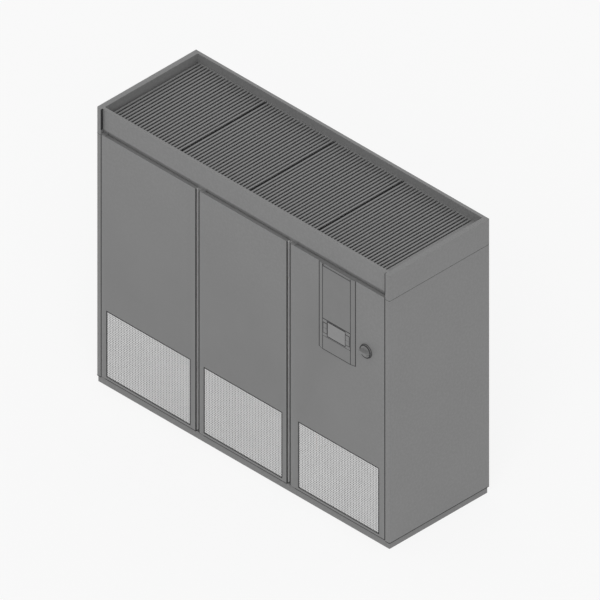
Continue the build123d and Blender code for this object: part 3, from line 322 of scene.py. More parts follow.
def powder_coat(name, colour, roughness=0.46, peel=0.10, wear=1.25):
    """Powder-coated sheet steel: fine orange peel, faint clouding and lighter worn edges."""
    material, tree, shader, place = start_material(name)
    cloud = vary(tree, noise(tree, place, 2.2, 3.0))
    fine = noise(tree, place, 60.0, 5.0, 0.6)
    base = mix_colour(tree, cloud, rgba(colour, 0.965), rgba(colour, 1.03))
    edge = vary(tree, node(tree, "ShaderNodeNewGeometry").outputs["Pointiness"], 0.53, 0.60, 0.0, 0.55)
    speck = vary(tree, fine, 0.42, 0.62, 0.25, 1.0)
    worn = node(tree, "ShaderNodeMath", {0: edge, 1: speck}, operation="MULTIPLY").outputs[0]
    looks = {
        "Base Color": mix_colour(tree, worn, base, rgba(colour, wear)),
        "Roughness": vary(tree, fine, out_low=roughness - 0.05, out_high=roughness + 0.06),
    }
    feed(tree, shader, looks)
    add_bump(tree, shader, noise(tree, place, 900.0, 2.0, 0.5), peel, 0.0004)
    return material


def moulded_plastic(name, colour, roughness=0.5, grain_scale=1500.0, grain=0.12):
    """Moulded plastic with a fine spark-eroded grain."""
    material, tree, shader, place = start_material(name)
    cloud = noise(tree, place, 14.0, 3.0)
    looks = {
        "Base Color": mix_colour(tree, vary(tree, cloud), rgba(colour, 0.96), rgba(colour, 1.04)),
        "Roughness": vary(tree, cloud, out_low=roughness - 0.03, out_high=roughness + 0.05),
    }
    feed(tree, shader, looks)
    add_bump(tree, shader, noise(tree, place, grain_scale, 2.0), grain, 0.0003)
    return material


def bare_metal(name, colour, roughness, stretch, streak, tarnish=0.85, spangle=0.0):
    """Bare metal with drawn or rolled streaks, faint tarnish and, on zinc, spangles."""
    material, tree, shader, place = start_material(name)
    lines = noise(tree, place, streak, 6.0, 0.65, stretch)
    cloud = vary(tree, noise(tree, place, 7.0, 4.0), 0.35, 0.7)
    base = mix_colour(tree, cloud, rgba(colour), rgba(colour, tarnish))
    if spangle:
        shade = vary(tree, cells(tree, place, 90.0), 0.0, 0.9, 0.0, spangle)
        base = mix_colour(tree, shade, base, rgba(colour, 1.2))
    rough = vary(tree, lines, out_low=roughness - 0.07, out_high=roughness + 0.1)
    feed(tree, shader, {"Metallic": 1.0, "Base Color": base, "Roughness": rough})
    add_bump(tree, shader, lines, 0.08, 0.0003)
    return material


def soft_foam(name, colour):
    """Closed-cell foam with small open pores on its skin."""
    material, tree, shader, place = start_material(name)
    pores = vary(tree, cells(tree, place, 420.0), 0.0, 0.6)
    skin = mix_colour(tree, pores, rgba(colour, 0.6), rgba(colour, 1.3))
    feed(tree, shader, {"Base Color": skin, "Roughness": 0.92})
    add_bump(tree, shader, pores, 0.5, 0.0006)
    return material


def filter_cloth(name, colour):
    """Felted synthetic filter media."""
    material, tree, shader, place = start_material(name)
    fibres = noise(tree, place, 320.0, 8.0, 0.75, (1.0, 3.0, 1.0))
    dust = vary(tree, noise(tree, place, 9.0, 4.0), 0.45, 0.75, 0.0, 0.35)
    base = mix_colour(tree, vary(tree, fibres), rgba(colour, 0.75), rgba(colour, 1.3))
    dusty = mix_colour(tree, dust, base, rgba(colour, 1.8))
    feed(tree, shader, {"Base Color": dusty, "Roughness": 0.95, "Sheen Weight": 0.25})
    add_bump(tree, shader, fibres, 0.6, 0.0006)
    return material


def screen_glass(name, colour):
    """Smooth cover of the display with faint smudges."""
    material, tree, shader, place = start_material(name)
    smudge = noise(tree, place, 26.0, 5.0, 0.6, (1.0, 1.0, 2.0))
    clean = vary(tree, smudge, 0.35, 0.7)
    looks = {
        "Base Color": mix_colour(tree, clean, rgba(colour, 0.97), rgba(colour, 1.05)),
        "Roughness": vary(tree, smudge, 0.4, 0.75, 0.10, 0.24),
        "Coat Weight": 0.7,
        "Coat Roughness": 0.04,
    }
    feed(tree, shader, looks)
    return material


# Mesh helpers


def new_piece(name, build, material, body, smooth=False):
    """A mesh object filled by build(bm), with its material, riding on a body."""
    mesh = bpy.data.meshes.new(name)
    bm = bmesh.new()
    build(bm)
    bmesh.ops.recalc_face_normals(bm, faces=bm.faces)
    bm.to_mesh(mesh)
    bm.free()
    obj = bpy.data.objects.new(name, mesh)
    bpy.context.scene.collection.objects.link(obj)
    mesh.materials.append(material)
    if smooth:
        mesh.shade_smooth()
    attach(obj, body)
    return obj


def bevel(obj, width, segments=2, angle=35.0):
    """A small real radius on every sharp edge."""
    modifier = obj.modifiers.new("edge_radius", "BEVEL")
    modifier.width = width
    modifier.segments = segments
    modifier.limit_method = "ANGLE"
    modifier.angle_limit = math.radians(angle)
    modifier.use_clamp_overlap = True


def smooth_by_angle(obj, angle=30.0):
    """Smooth shading with crisp edges kept."""
    obj.data.shade_smooth()
    obj.data.set_sharp_from_angle(angle=math.radians(angle))


def block(bm, low, high):
    """A block between two corners."""
    spots = [(x, y, z) for x in (low[0], high[0]) for y in (low[1], high[1]) for z in (low[2], high[2])]
    corners = [bm.verts.new(spot) for spot in spots]
    for face in ((0, 1, 3, 2), (4, 6, 7, 5), (0, 4, 5, 1), (2, 3, 7, 6), (0, 2, 6, 4), (1, 5, 7, 3)):
        bm.faces.new([corners[k] for k in face])


def skirt(bm, first, second):
    """Faces between two rings of as many vertices."""
    for k in range(len(first)):
        after = (k + 1) % len(first)
        bm.faces.new((first[k], second[k], second[after], first[after]))


def spokes(along, across, sides):
    """Directions evenly round an axis, from a first one across it."""
    other = along.cross(across)
    turns = [2 * math.pi * step / sides for step in range(sides)]
    return [across * math.cos(turn) + other * math.sin(turn) for turn in turns]


def turned(bm, profile, centre, axis, sides=24):
    """A closed turned form: profile of (radius, distance) pairs about an axis through centre."""
    along = Vector(axis).normalized()
    outs = spokes(along, along.orthogonal().normalized(), sides)
    rings = []
    for radius, distance in profile:
        middle = Vector(centre) + along * distance
        reach = [out * radius for out in outs] if radius > NEAR else [Vector()]
        rings.append([bm.verts.new(middle + out) for out in reach])
    for low, high in zip(rings, rings[1:]):
        if len(low) == len(high):
            skirt(bm, low, high)
            continue
        pole, ring = (low[0], high) if len(low) == 1 else (high[0], low)
        for step in range(sides):
            bm.faces.new((pole, ring[step], ring[(step + 1) % sides]))


def turned_ring(bm, profile, centre, axis, sides=24):
    """A turned ring: a closed profile of (radius, distance) pairs about an axis through centre."""
    along = Vector(axis).normalized()
    loops = []
    for out in spokes(along, along.orthogonal().normalized(), sides):
        loops.append([bm.verts.new(Vector(centre) + along * far + out * radius) for radius, far in profile])
    for near, far in zip(loops, loops[1:] + loops[:1]):
        skirt(bm, near, far)


def tube(bm, points, radius, sides=8, closed=False):
    """A round tube through points, mitred at its corners."""
    points = [Vector(p) for p in points]
    count = len(points)
    rings = []
    normal = None
    for index, point in enumerate(points):
        if closed:
            before, after = points[index - 1], points[(index + 1) % count]
        else:
            before, after = points[max(index - 1, 0)], points[min(index + 1, count - 1)]
        tangent = (after - before).normalized()
        if normal is None:
            normal = tangent.orthogonal().normalized()
        normal = (normal - tangent * normal.dot(tangent)).normalized()
        rings.append([bm.verts.new(point + out * radius) for out in spokes(tangent, normal, sides)])
    for low, high in zip(rings, rings[1:] + rings[:1] if closed else rings[1:]):
        skirt(bm, low, high)
    if not closed:
        bm.faces.new(rings[0])
        bm.faces.new(rings[-1])


def ring_plate(bm, outer, inner, y_span):
    """A flat rectangular ring that faces the front; outer and inner are (x_span, z_span)."""
    loops = []
    for y in y_span:
        for (x0, x1), (z0, z1) in (outer, inner):
            loops.append([bm.verts.new((x, y, z)) for x, z in ((x0, z0), (x1, z0), (x1, z1), (x0, z1))])
    for first, second in ((0, 1), (2, 3), (0, 2), (1, 3)):
        skirt(bm, loops[first], loops[second])


def extruded(bm, outline, span, order=ALONG_Y):
    """An outline of points drawn out over a span along one axis."""
    ends = [[bm.verts.new([(*spot, end)[k] for k in order]) for spot in outline] for end in span]
    bm.faces.new(ends[0])
    bm.faces.new(ends[1])
    skirt(bm, *ends)


def grown(span, amount):
    """A span made longer by an amount at both ends."""
    return span[0] - amount, span[1] + amount


def face_spans(low, high, amount=0.0):
    """The X span and the Z span of a box, grown by an amount."""
    return tuple(grown((low[axis], high[axis]), amount) for axis in (0, 2))


def curve(start, end, start_pull, end_pull, steps=8):
    """Points on a smooth curve between two points, drawn out along a pull at each end."""
    a, d = Vector(start), Vector(end)
    b, c = a + Vector(start_pull), d + Vector(end_pull)
    points = []
    for step in range(steps + 1):
        s = step / steps
        points.append(a * (1 - s) ** 3 + b * 3 * s * (1 - s) ** 2 + c * 3 * s * s * (1 - s) + d * s**3)
    return points


# Materials of the carried-over nodes

shell_paint = powder_coat("shell_paint", SHELL_GREY)
louvre_paint = powder_coat("louvre_paint", SHELL_GREY, 0.5)
grille_paint = powder_coat("grille_paint", LIGHT_GREY, 0.5, 0.08, 1.1)
plinth_paint = powder_coat("plinth_paint", SHELL_GREY, 0.55, 0.16)
zinc = bare_metal("zinc_sheet", (0.60, 0.61, 0.62), 0.38, (1.0, 1.0, 1.0), 60.0, 0.86, 0.35)
stainless = bare_metal("stainless", (0.66, 0.66, 0.67), 0.30, (0.05, 1.0, 1.0), 240.0)
turned_steel = bare_metal("turned_steel", (0.68, 0.68, 0.69), 0.26, (1.0, 0.05, 1.0), 300.0)
fan_alloy = bare_metal("fan_alloy", (0.74, 0.75, 0.76), 0.36, (1.0, 1.0, 0.2), 120.0)
coil_alloy = bare_metal("coil_alloy", (0.80, 0.81, 0.82), 0.32, (0.1, 1.0, 1.0), 200.0)
copper = bare_metal("copper_tube", (0.80, 0.42, 0.26), 0.30, (1.0, 1.0, 1.0), 150.0, 0.62)
motor_black = powder_coat("motor_black", (0.035, 0.035, 0.038), 0.5, 0.2, 2.2)
compressor_black = powder_coat("compressor_black", (0.02, 0.02, 0.022), 0.34, 0.22, 2.5)
foam = soft_foam("lining_foam", (0.035, 0.035, 0.038))
# Near-black filter media: dark media is real, and its near-black also stands in for the shade in the gaps
# between the louvre blades, painted shade
media = filter_cloth("filter_media", (0.012, 0.012, 0.013))
bezel_plastic = moulded_plastic("bezel_plastic", SHELL_GREY, 0.48)
module_plastic = moulded_plastic("module_plastic", SHELL_GREY, 0.42)
key_plastic = moulded_plastic("key_plastic", SHELL_GREY, 0.36, 2200.0, 0.06)
handle_plastic = moulded_plastic("handle_plastic", SHELL_GREY, 0.40, 1800.0, 0.1)
glass = screen_glass("screen_glass", SHELL_GREY)
device_plastic = moulded_plastic("device_plastic", (0.14, 0.145, 0.155), 0.5)
pale_plastic = moulded_plastic("pale_plastic", (0.66, 0.66, 0.62), 0.45)
rubber = moulded_plastic("gasket_rubber", (0.018, 0.018, 0.019), 0.75, 900.0, 0.2)
# Pale paint that stands in for light on the shaded edge faces in the gaps between the doors
painted_gap_light = powder_coat("painted_gap_light", (0.62, 0.62, 0.62), 0.5)
# Pale grey frame paint; this paleness is also painted light, lifting the uprights where they show in the
# shaded gaps between the doors
uprights_painted_light = powder_coat("uprights_painted_light", (0.42, 0.42, 0.42), 0.5)
duct_plastic = moulded_plastic("duct_plastic", (0.42, 0.43, 0.44), 0.5)
wire_black = moulded_plastic("wire_black", (0.02, 0.02, 0.022), 0.4)
wire_brown = moulded_plastic("wire_brown", (0.10, 0.045, 0.025), 0.4)
wire_blue = moulded_plastic("wire_blue", (0.05, 0.10, 0.22), 0.4)
screw_steel = bare_metal("screw_steel", (0.66, 0.66, 0.67), 0.3, (1.0, 1.0, 1.0), 400.0)

FINISHES = {
    shell_paint: (
        "left_end_panel right_end_panel hood_left_cap hood_right_cap hood_back_panel hood_front_fascia "
        "back_panels top_rails door_left_panel door_middle_panel door_right_panel door_fittings"
    ),
    louvre_paint: "louvre_grille_1 louvre_grille_2 louvre_grille_3 louvre_grille_4 hood_filler_strip",
    grille_paint: "door_left_grille door_middle_grille door_right_grille",
    plinth_paint: "base_frame",
    zinc: (
        "floor_pan service_recess filter_rack fan_deck fan_inlet_nozzles "
        "coil_end_plates technical_bulkhead electrical_board"
    ),
    uprights_painted_light: "frame_uprights",
    stainless: "drain_trays reheat_rods",
    turned_steel: "isolator_shaft",
    fan_alloy: "fan_wheel_left fan_wheel_middle",
    coil_alloy: "coil_slabs",
    copper: "coil_headers refrigerant_pipes",
    motor_black: "fan_motor_left fan_motor_middle",
    compressor_black: "compressors",
    foam: "door_left_lining door_middle_lining door_right_lining",
    media: "filter_1 filter_2 filter_3 filter_4",
    bezel_plastic: "display_bezel",
    module_plastic: "display_housing",
    key_plastic: "key_1 key_2 key_3 key_4",
    handle_plastic: "isolator_handle",
    glass: "display_screen",
    device_plastic: "isolator_switch switchgear controller",
    pale_plastic: "humidifier_cylinder",
}
ROUND_NODES = (
    "isolator_handle isolator_shaft fan_wheel_left fan_wheel_middle fan_motor_left fan_motor_middle "
    "fan_inlet_nozzles coil_headers refrigerant_pipes reheat_rods compressors humidifier_cylinder "
    "display_bezel key_1 key_2 key_3 key_4 left_end_panel right_end_panel hood_left_cap hood_right_cap"
).split()
BEVELLED_NODES = (
    "hood_back_panel hood_front_fascia back_panels hood_filler_strip display_housing switchgear "
    "door_left_panel door_middle_panel door_right_panel"
).split()


def dress_nodes():
    """Gives every carried-over node its finish, round forms smooth shading and folds a small radius."""
    for material, names in FINISHES.items():
        for name in names.split():
            mesh = nodes[name].data
            mesh.materials.clear()
            mesh.materials.append(material)
    for name in ROUND_NODES:
        smooth_by_angle(nodes[name])
    for name in BEVELLED_NODES:
        bevel(nodes[name], FOLD_RADIUS)


# Perforated sheets in the lower doors


def perforated_sheet(bm, x_span, z_span, field_x, field_z, y_span):
    """A sheet with a plain border round a field of round holes, all closed and welded."""
    columns = round((field_x[1] - field_x[0]) / PERFORATION_PITCH)
    rows = round((field_z[1] - field_z[0]) / PERFORATION_PITCH)
    step_x = (field_x[1] - field_x[0]) / columns
    step_z = (field_z[1] - field_z[0]) / rows
    border = ((1, 0), (1, 1), (0, 1), (-1, 1), (-1, 0), (-1, -1), (0, -1), (1, -1))
    holes_by_side = []
    rims = []
    for y in y_span:
        grid = {}

        def vertex(i, j, y=y, grid=grid):
            if (i, j) not in grid:
                grid[i, j] = bm.verts.new((field_x[0] + i * step_x / 2, y, field_z[0] + j * step_z / 2))
            return grid[i, j]

        holes = []
        for column in range(columns):
            for row in range(rows):
                i, j = 2 * column + 1, 2 * row + 1
                centre_x = field_x[0] + i * step_x / 2
                centre_z = field_z[0] + j * step_z / 2
                ring = []
                for a, b in border:
                    turn = math.atan2(b, a)
                    x = centre_x + PERFORATION_RADIUS * math.cos(turn)
                    z = centre_z + PERFORATION_RADIUS * math.sin(turn)
                    ring.append(bm.verts.new((x, y, z)))
                skirt(bm, [vertex(i + a, j + b) for a, b in border], ring)
                holes.append(ring)
        rim = [vertex(i, 0) for i in range(2 * columns)]
        rim += [vertex(2 * columns, j) for j in range(2 * rows)]
        rim += [vertex(i, 2 * rows) for i in range(2 * columns, 0, -1)]
        rim += [vertex(0, j) for j in range(2 * rows, 0, -1)]
        outer = []
        for inner in rim:
            x, _, z = inner.co
            reach_x = x_span[0] if x <= field_x[0] + NEAR else x_span[1] if x >= field_x[1] - NEAR else x
            reach_z = z_span[0] if z <= field_z[0] + NEAR else z_span[1] if z >= field_z[1] - NEAR else z
            outer.append(bm.verts.new((reach_x, y, reach_z)))
        skirt(bm, rim, outer)
        holes_by_side.append(holes)
        rims.append(outer)
    for front, back in zip(*holes_by_side):
        skirt(bm, front, back)
    skirt(bm, *rims)


def make_door_grille(name):
    """The perforated supply panel that stands for a door's slotted plate."""
    low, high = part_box(f"door_{name}_grille")
    plate, field = face_spans(low, high), face_spans(low, high, -PERFORATION_MARGIN)

    def build(bm):
        perforated_sheet(bm, *plate, *field, (low[1], low[1] + PERFORATED_SHEET))

    piece = new_piece(f"door_{name}_perforated_panel", build, grille_paint, f"door_{name}")
    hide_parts(f"door_{name}_grille")


def make_door_gasket(name):
    """Black rubber seal round the back of a door."""
    low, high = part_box(f"door_{name}_panel")
    (x0, x1), (z0, z1) = face_spans(low, high, -GASKET_INSET)
    y = high[1] + GASKET_RADIUS
    corners = [Vector(spot) for spot in ((x0, y, z0), (x1, y, z0), (x1, y, z1), (x0, y, z1))]
    points = []
    for index, corner in enumerate(corners):
        before = (corners[index - 1] - corner).normalized()
        after = (corners[(index + 1) % 4] - corner).normalized()
        points += [corner + before * reach for reach in GASKET_BENDS]
        points.append(corner)
        points += [corner + after * reach for reach in reversed(GASKET_BENDS)]

    def build(bm):
        tube(bm, points, GASKET_RADIUS, closed=True)

    piece = new_piece(f"door_{name}_seal", build, rubber, f"door_{name}", True)


def pan_head(bm, centre, axis):
    """A pan-head screw on a washer, standing on a surface."""
    shares = zip(PAN_HEAD_RADII, PAN_HEAD_HEIGHTS)
    profile = [(SCREW_RADIUS * radius, SCREW_HEIGHT * height) for radius, height in shares]
    turned(bm, profile, centre, axis, SCREW_SIDES)


# Dark seams and trims of the casing, and pale sheets of painted light in the door gaps


def make_window_trims():
    """Black edging round the perforated panel of each door."""
    for name in DOORS:
        low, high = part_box(f"door_{name}_grille")
        outer = face_spans(low, high, -WINDOW_BORDER)
        inner = face_spans(low, high, -WINDOW_BORDER - TRIM_WIDTH)

        def build(bm):
            ring_plate(bm, outer, inner, (FRONT - PROUD, low[1]))

        new_piece(f"door_{name}_window_trim", build, rubber, f"door_{name}")


def make_bottom_strips():
    """Rubber strips under the doors, and seals under and over the end panels."""
    for name in DOORS:
        low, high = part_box(f"door_{name}_panel")

        def build(bm):
            near = (low[0] + STRIP_START, FRONT + GAP, low[2] - STRIP_HEIGHT)
            block(bm, near, (high[0] - STEP, high[1], low[2]))

        new_piece(f"door_{name}_bottom_strip", build, rubber, f"door_{name}")
    for side in ("left", "right"):
        low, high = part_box(f"{side}_end_panel")
        cap_low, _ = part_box(f"hood_{side}_cap")

        def build(bm):
            outer, inner = grown((low[0], high[0]), -END_SEAL_INSET)
            y0, y1 = grown((low[1], high[1]), -END_SEAL_INSET)
            cut = END_SEAL_CUT
            if side == "right":
                outer, inner, cut = inner, outer, -cut
            outline = [
                (inner, y0),
                (outer + cut, y0),
                (outer + cut * END_SEAL_ROUND, y0 + END_SEAL_CUT * END_SEAL_ROUND),
                (outer, y0 + END_SEAL_CUT),
                (outer, y1),
                (inner, y1),
            ]
            extruded(bm, outline, (low[2] - END_SEAL_HEIGHT, low[2]), ALONG_Z)
            extruded(bm, outline, (high[2], cap_low[2]), ALONG_Z)

        new_piece(f"{side}_end_seals", build, rubber, "cabinet")


def make_control_panel_lines():
    """Dark gaskets round the control panel, its display, its screen and its keys."""
    bezel_low, bezel_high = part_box("display_bezel")
    housing_low, housing_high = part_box("display_housing")
    screen_low, screen_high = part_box("display_screen")
    keys = [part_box(f"key_{k}") for k in KEYS]

    def build(bm):
        foot, top = bezel_low[2], bezel_high[2]
        left, right = housing_low[0], housing_high[0]
        crown, face = bezel_low[1], housing_low[1]
        outer = (grown((bezel_low[0], bezel_high[0]), LINE_WIDTH), (foot - LINE_WIDTH, top))
        inner = (grown(outer[0], -LINE_WIDTH - LINE_COVER), (foot + BEZEL_FOOT_COVER, top - BEZEL_TOP_COVER))
        ring_plate(bm, outer, inner, (FRONT - BEZEL_LINE_HEIGHT, FRONT))
        lip = [(bezel_low[0], FRONT), (left, crown), (right, crown), (bezel_high[0], FRONT)]
        extruded(bm, lip, (foot - LIP_HEIGHT, foot), ALONG_Z)
        for x in (left - LINE_WIDTH, right):
            near = (x, crown - PROUD, foot + INSET)
            block(bm, near, (x + LINE_WIDTH, crown + LINE_DEPTH, top - INSET))
        for z in (housing_low[2] - LINE_WIDTH, housing_high[2]):
            block(bm, (left, crown - PROUD, z), (right, crown + LINE_DEPTH, z + LINE_WIDTH))
        ledge = top - LEDGE
        block(bm, (left, crown - PROUD, ledge - LEDGE_LINE), (right, crown + INSET, ledge))
        x_span, (z0, z1) = face_spans(screen_low, screen_high)
        outer = (grown(x_span, SCREEN_SIDE_LINE), (z0 - SCREEN_FOOT_LINE, z1 + SCREEN_TOP_LINE))
        inner = face_spans(screen_low, screen_high, -LINE_COVER)
        ring_plate(bm, outer, inner, (face - PROUD, face + INSET))
        for pair in (keys[:2], keys[2:]):
            low = [min(key[0][axis] for key in pair) for axis in range(3)]
            high = [max(key[1][axis] for key in pair) for axis in range(3)]
            outer, inner = face_spans(low, high, LINE_WIDTH), face_spans(low, high, GAP)
            ring_plate(bm, outer, inner, (face - PROUD, face + STEP))

    new_piece("control_panel_gaskets", build, rubber, "door_right")


def make_dial_gasket():
    """Dark ring under the isolator handle, and a dark band round the rim of its dial."""
    low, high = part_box("isolator_handle")
    centre = ((low[0] + high[0]) / 2, FRONT, (low[2] + high[2]) / 2)
    radius = (high[0] - low[0]) / 2

    def build(bm):
        inner, outer = radius - DIAL_RING_COVER, radius + DIAL_RING_REACH
        profile = ((inner, 0.0), (outer, 0.0), (outer, DIAL_RING_HEIGHT), (inner, DIAL_RING_HEIGHT))
        turned_ring(bm, profile, centre, FORWARD, DIAL_SIDES)

    new_piece("isolator_dial_gasket", build, rubber, "door_right", True)

    def band(bm):
        inner, outer = radius - DIAL_BAND_COVER, radius + DIAL_BAND_REACH
        foot, top = DIAL_HEIGHT - DIAL_BAND_HEIGHT, DIAL_HEIGHT + STEP
        slope = ((outer, DIAL_HEIGHT - STEP), (radius - DIAL_BAND_SLOPE, top))
        turned_ring(bm, ((inner, foot), (outer, foot), *slope, (inner, top)), centre, FORWARD, DIAL_SIDES)

    new_piece("isolator_dial_band", band, rubber, "isolator_handle", True)


def make_corner_lines():
    """Edging of the doors, pale sheets of painted light on their shaded lock edges, and seals at the hood's
    front corners and the left end.
    """
    for name in DOORS:
        low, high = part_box(f"door_{name}_panel")

        def build(bm):
            y = FRONT - STEP
            reach = 0.0 if name == "left" else EDGING_WIDTH
            lock_end = (high[0] + EDGING_REACH, FRONT + LOCK_EDGING_DEPTH, high[2])
            hinge_end = (low[0] + EDGING_WIDTH, FRONT + HINGE_EDGING_DEPTH, high[2])
            block(bm, (high[0] - EDGING_WIDTH, y, low[2]), lock_end)
            block(bm, (low[0] - reach, y, low[2]), hinge_end)

        new_piece(f"door_{name}_edging", build, rubber, f"door_{name}")

    # Pale sheets on each door's lock edge: painted light that lifts the shade in the gap beside the door
    for name in DOORS:
        low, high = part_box(f"door_{name}_panel")

        def build(bm):
            near = (high[0], FRONT + LOCK_EDGING_DEPTH, low[2] + INSET)
            block(bm, near, (high[0] + PAINTED_LIGHT_SHEET, high[1] - STEP, high[2] - INSET))

        new_piece(f"door_{name}_lock_side_painted_light", build, painted_gap_light, f"door_{name}")

    def corners(bm):
        _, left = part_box("hood_left_cap")
        right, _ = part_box("hood_right_cap")
        fascia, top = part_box("hood_front_fascia")
        low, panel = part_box("left_end_panel")
        near = (panel[0], low[1] + END_SEAL_INSET, low[2] + EDGING_WIDTH)
        block(bm, near, (panel[0] + END_LINE_WIDTH, low[1] + END_LINE_DEPTH, panel[2]))
        for x0, x1 in ((left[0] - INSET, left[0] + LINE_WIDTH), (right[0] - LINE_WIDTH, right[0] + INSET)):
            block(bm, (x0, right[1] - GAP, fascia[2]), (x1, fascia[1] - STEP, top[2] - INSET))

    new_piece("hood_corner_seals", corners, rubber, "cabinet")


# Louvre modules


def make_louvre_module(number):
    """A slim frame with folded blades, each a flat lip over a short leg with a stiffening return."""
    low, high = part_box(f"louvre_grille_{number}")
    sheet = LOUVRE_SHEET

    def build(bm):
        left, right = low[0] + sheet * 2, high[0] - sheet * 2
        foot, top = low[2], high[2]
        for x0, x1 in ((low[0], left), (right, high[0])):
            block(bm, (x0, low[1], foot), (x1, high[1], top - LOUVRE_SIDE_DROP))
        y_span = grown((low[1], high[1]), -LOUVRE_END_RAIL)
        for y0, y1 in ((low[1], y_span[0]), (y_span[1], high[1])):
            block(bm, (left, y0, foot), (right, y1, top - STEP))
        count = round((right - left) / LOUVRE_PITCH)
        pitch = (right - left) / count
        for k in range(count):
            x = left + (k + 0.5) * pitch - LOUVRE_LIP / 2
            outline = [
                (x, top),
                (x, top - LOUVRE_LEG),
                (x + LOUVRE_RETURN, top - LOUVRE_DEPTH),
                (x + LOUVRE_RETURN + sheet * 0.4, top - LOUVRE_DEPTH + sheet * 0.8),
                (x + sheet, top - LOUVRE_LEG + sheet / 2),
                (x + sheet, top - sheet),
                (x + LOUVRE_LIP, top - sheet),
                (x + LOUVRE_LIP, top),
            ]
            extruded(bm, outline, y_span)
        for y in LOUVRE_RIBS:
            near = (left, y - LOUVRE_RIB_HALF, foot + INSET)
            block(bm, near, (right, y + LOUVRE_RIB_HALF, top - LOUVRE_DEPTH - STEP))

    piece = new_piece(f"louvre_module_{number}_blades", build, louvre_paint, f"louvre_module_{number}")
    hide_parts(f"louvre_grille_{number}")
    bevel(piece, LOUVRE_RADIUS, 1)


def make_module_seals():
    """Dark seals in the seams between the louvre modules."""
    boxes = [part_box(f"louvre_grille_{k}") for k in MODULES]

    def build(bm):
        for (_, near), (far, _) in zip(boxes, boxes[1:]):
            low = (near[0] + GAP, near[1] - SEAM_SEAL_LENGTH, near[2] - SEAM_SEAL_FOOT)
            block(bm, low, (far[0] - GAP, near[1], near[2] - SEAM_SEAL_TOP))

    new_piece("louvre_seam_seals", build, rubber, "cabinet")


# Inside the cabinet


def coil_frames():
    """Both ends of the slabs along X, and each slab's middle, slope, outward direction and length."""
    low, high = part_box("coil_slabs")
    middle_y = (low[1] + high[1]) / 2
    frames = []
    for side in (-1, 1):
        foot = Vector((0.0, middle_y + side * COIL_FOOT[0], COIL_FOOT[1]))
        head = Vector((0.0, middle_y + side * COIL_HEAD[0], COIL_HEAD[1]))
        slope = (head - foot).normalized()
        out = Vector((0.0, -slope.z, slope.y)) * -side
        frames.append(((foot + head) / 2, slope, out, (head - foot).length))
    return low[0], high[0], frames


def make_coil_fins():
    """Fine fins that fill the coarse fins of both slabs."""
    left, right, frames = coil_frames()

    def build(bm):
        count = int((right - left - 2 * COIL_CASING) / FIN_PITCH)
        for middle, slope, out, length in frames:
            half = length / 2 - COIL_CASING + INSET
            reach = COIL_HALF_THICKNESS - FIN_INSET
            ends = ((-1, -1), (1, -1), (1, 1), (-1, 1))
            spots = [middle + slope * (half * a) + out * (reach * b) for a, b in ends]
            for k in range(count + 1):
                x = left + COIL_CASING + k * FIN_PITCH
                extruded(bm, [(spot.y, spot.z) for spot in spots], (x, x + FIN_SHEET), ALONG_X)

    new_piece("coil_fine_fins", build, coil_alloy, "cabinet")


def make_coil_tubes():
    """Copper tubes through the fins with return bends outside the left end plate."""
    _, right, frames = coil_frames()
    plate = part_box("coil_end_plates")[0][0] - INSET

    def build(bm):
        for middle, slope, out, length in frames:
            pairs = int((length - 2 * COIL_CASING) / COIL_TUBE_PITCH / 2)
            for row in (-1, 0, 1):
                shift = out * (row * COIL_ROW_PITCH)
                for pair in range(pairs):
                    start = -(pairs - 0.5) * COIL_TUBE_PITCH + pair * 2 * COIL_TUBE_PITCH
                    a = middle + slope * (start + row * COIL_ROW_STAGGER) + shift
                    b = a + slope * COIL_TUBE_PITCH
                    points = [(right, a.y, a.z), (plate, a.y, a.z)]
                    for step in range(1, RETURN_BEND_STEPS):
                        turn = math.pi * step / RETURN_BEND_STEPS
                        spot = (a + b) / 2 - slope * (math.cos(turn) * COIL_TUBE_PITCH / 2)
                        points.append((plate - math.sin(turn) * RETURN_BEND_REACH, spot.y, spot.z))
                    points += [(plate, b.y, b.z), (right, b.y, b.z)]
                    tube(bm, points, COIL_TUBE_RADIUS)

    new_piece("coil_tubes", build, copper, "cabinet", True)


def duct(bm, x_span, z_span, upright):
    """A slotted wiring duct on the board: back, cover and fingers."""
    wall, front = BOARD_FACE + INSET, BOARD_FACE - DUCT_DEPTH
    block(bm, (x_span[0], wall - DUCT_BACK, z_span[0]), (x_span[1], wall, z_span[1]))
    (x0, x1), (z0, z1) = grown(x_span, INSET), grown(z_span, INSET)
    block(bm, (x0, front, z0), (x1, front + DUCT_COVER, z1))
    run, width = (z_span, x_span) if upright else (x_span, z_span)
    sides = ((width[0], width[0] + DUCT_WALL), (width[1] - DUCT_WALL, width[1]))
    for k in range(int((run[1] - run[0]) / DUCT_FINGER_PITCH)):
        start = run[0] + DUCT_FINGER_START + k * DUCT_FINGER_PITCH
        along = (start, start + DUCT_FINGER)
        for across in sides:
            xs, zs = (across, along) if upright else (along, across)
            near = (xs[0], front + DUCT_COVER - STEP, zs[0])
            block(bm, near, (xs[1], wall - DUCT_BACK + INSET, zs[1]))


def make_ducts():
    """Wiring ducts round the devices on the electrical board."""

    def build(bm):
        for z_span in DUCT_ROWS:
            duct(bm, DUCT_ROW_SPAN, z_span, False)
        duct(bm, DUCT_RISER, (DUCT_ROWS[0][0], DUCT_ROWS[-1][1]), True)

    new_piece("board_ducts", build, duct_plastic, "cabinet")


def lane(row, k, j):
    """Place along X of wire j at device k of a row of wires."""
    _, first, device_pitch, wire_pitch = row
    return first + k * device_pitch + j * wire_pitch


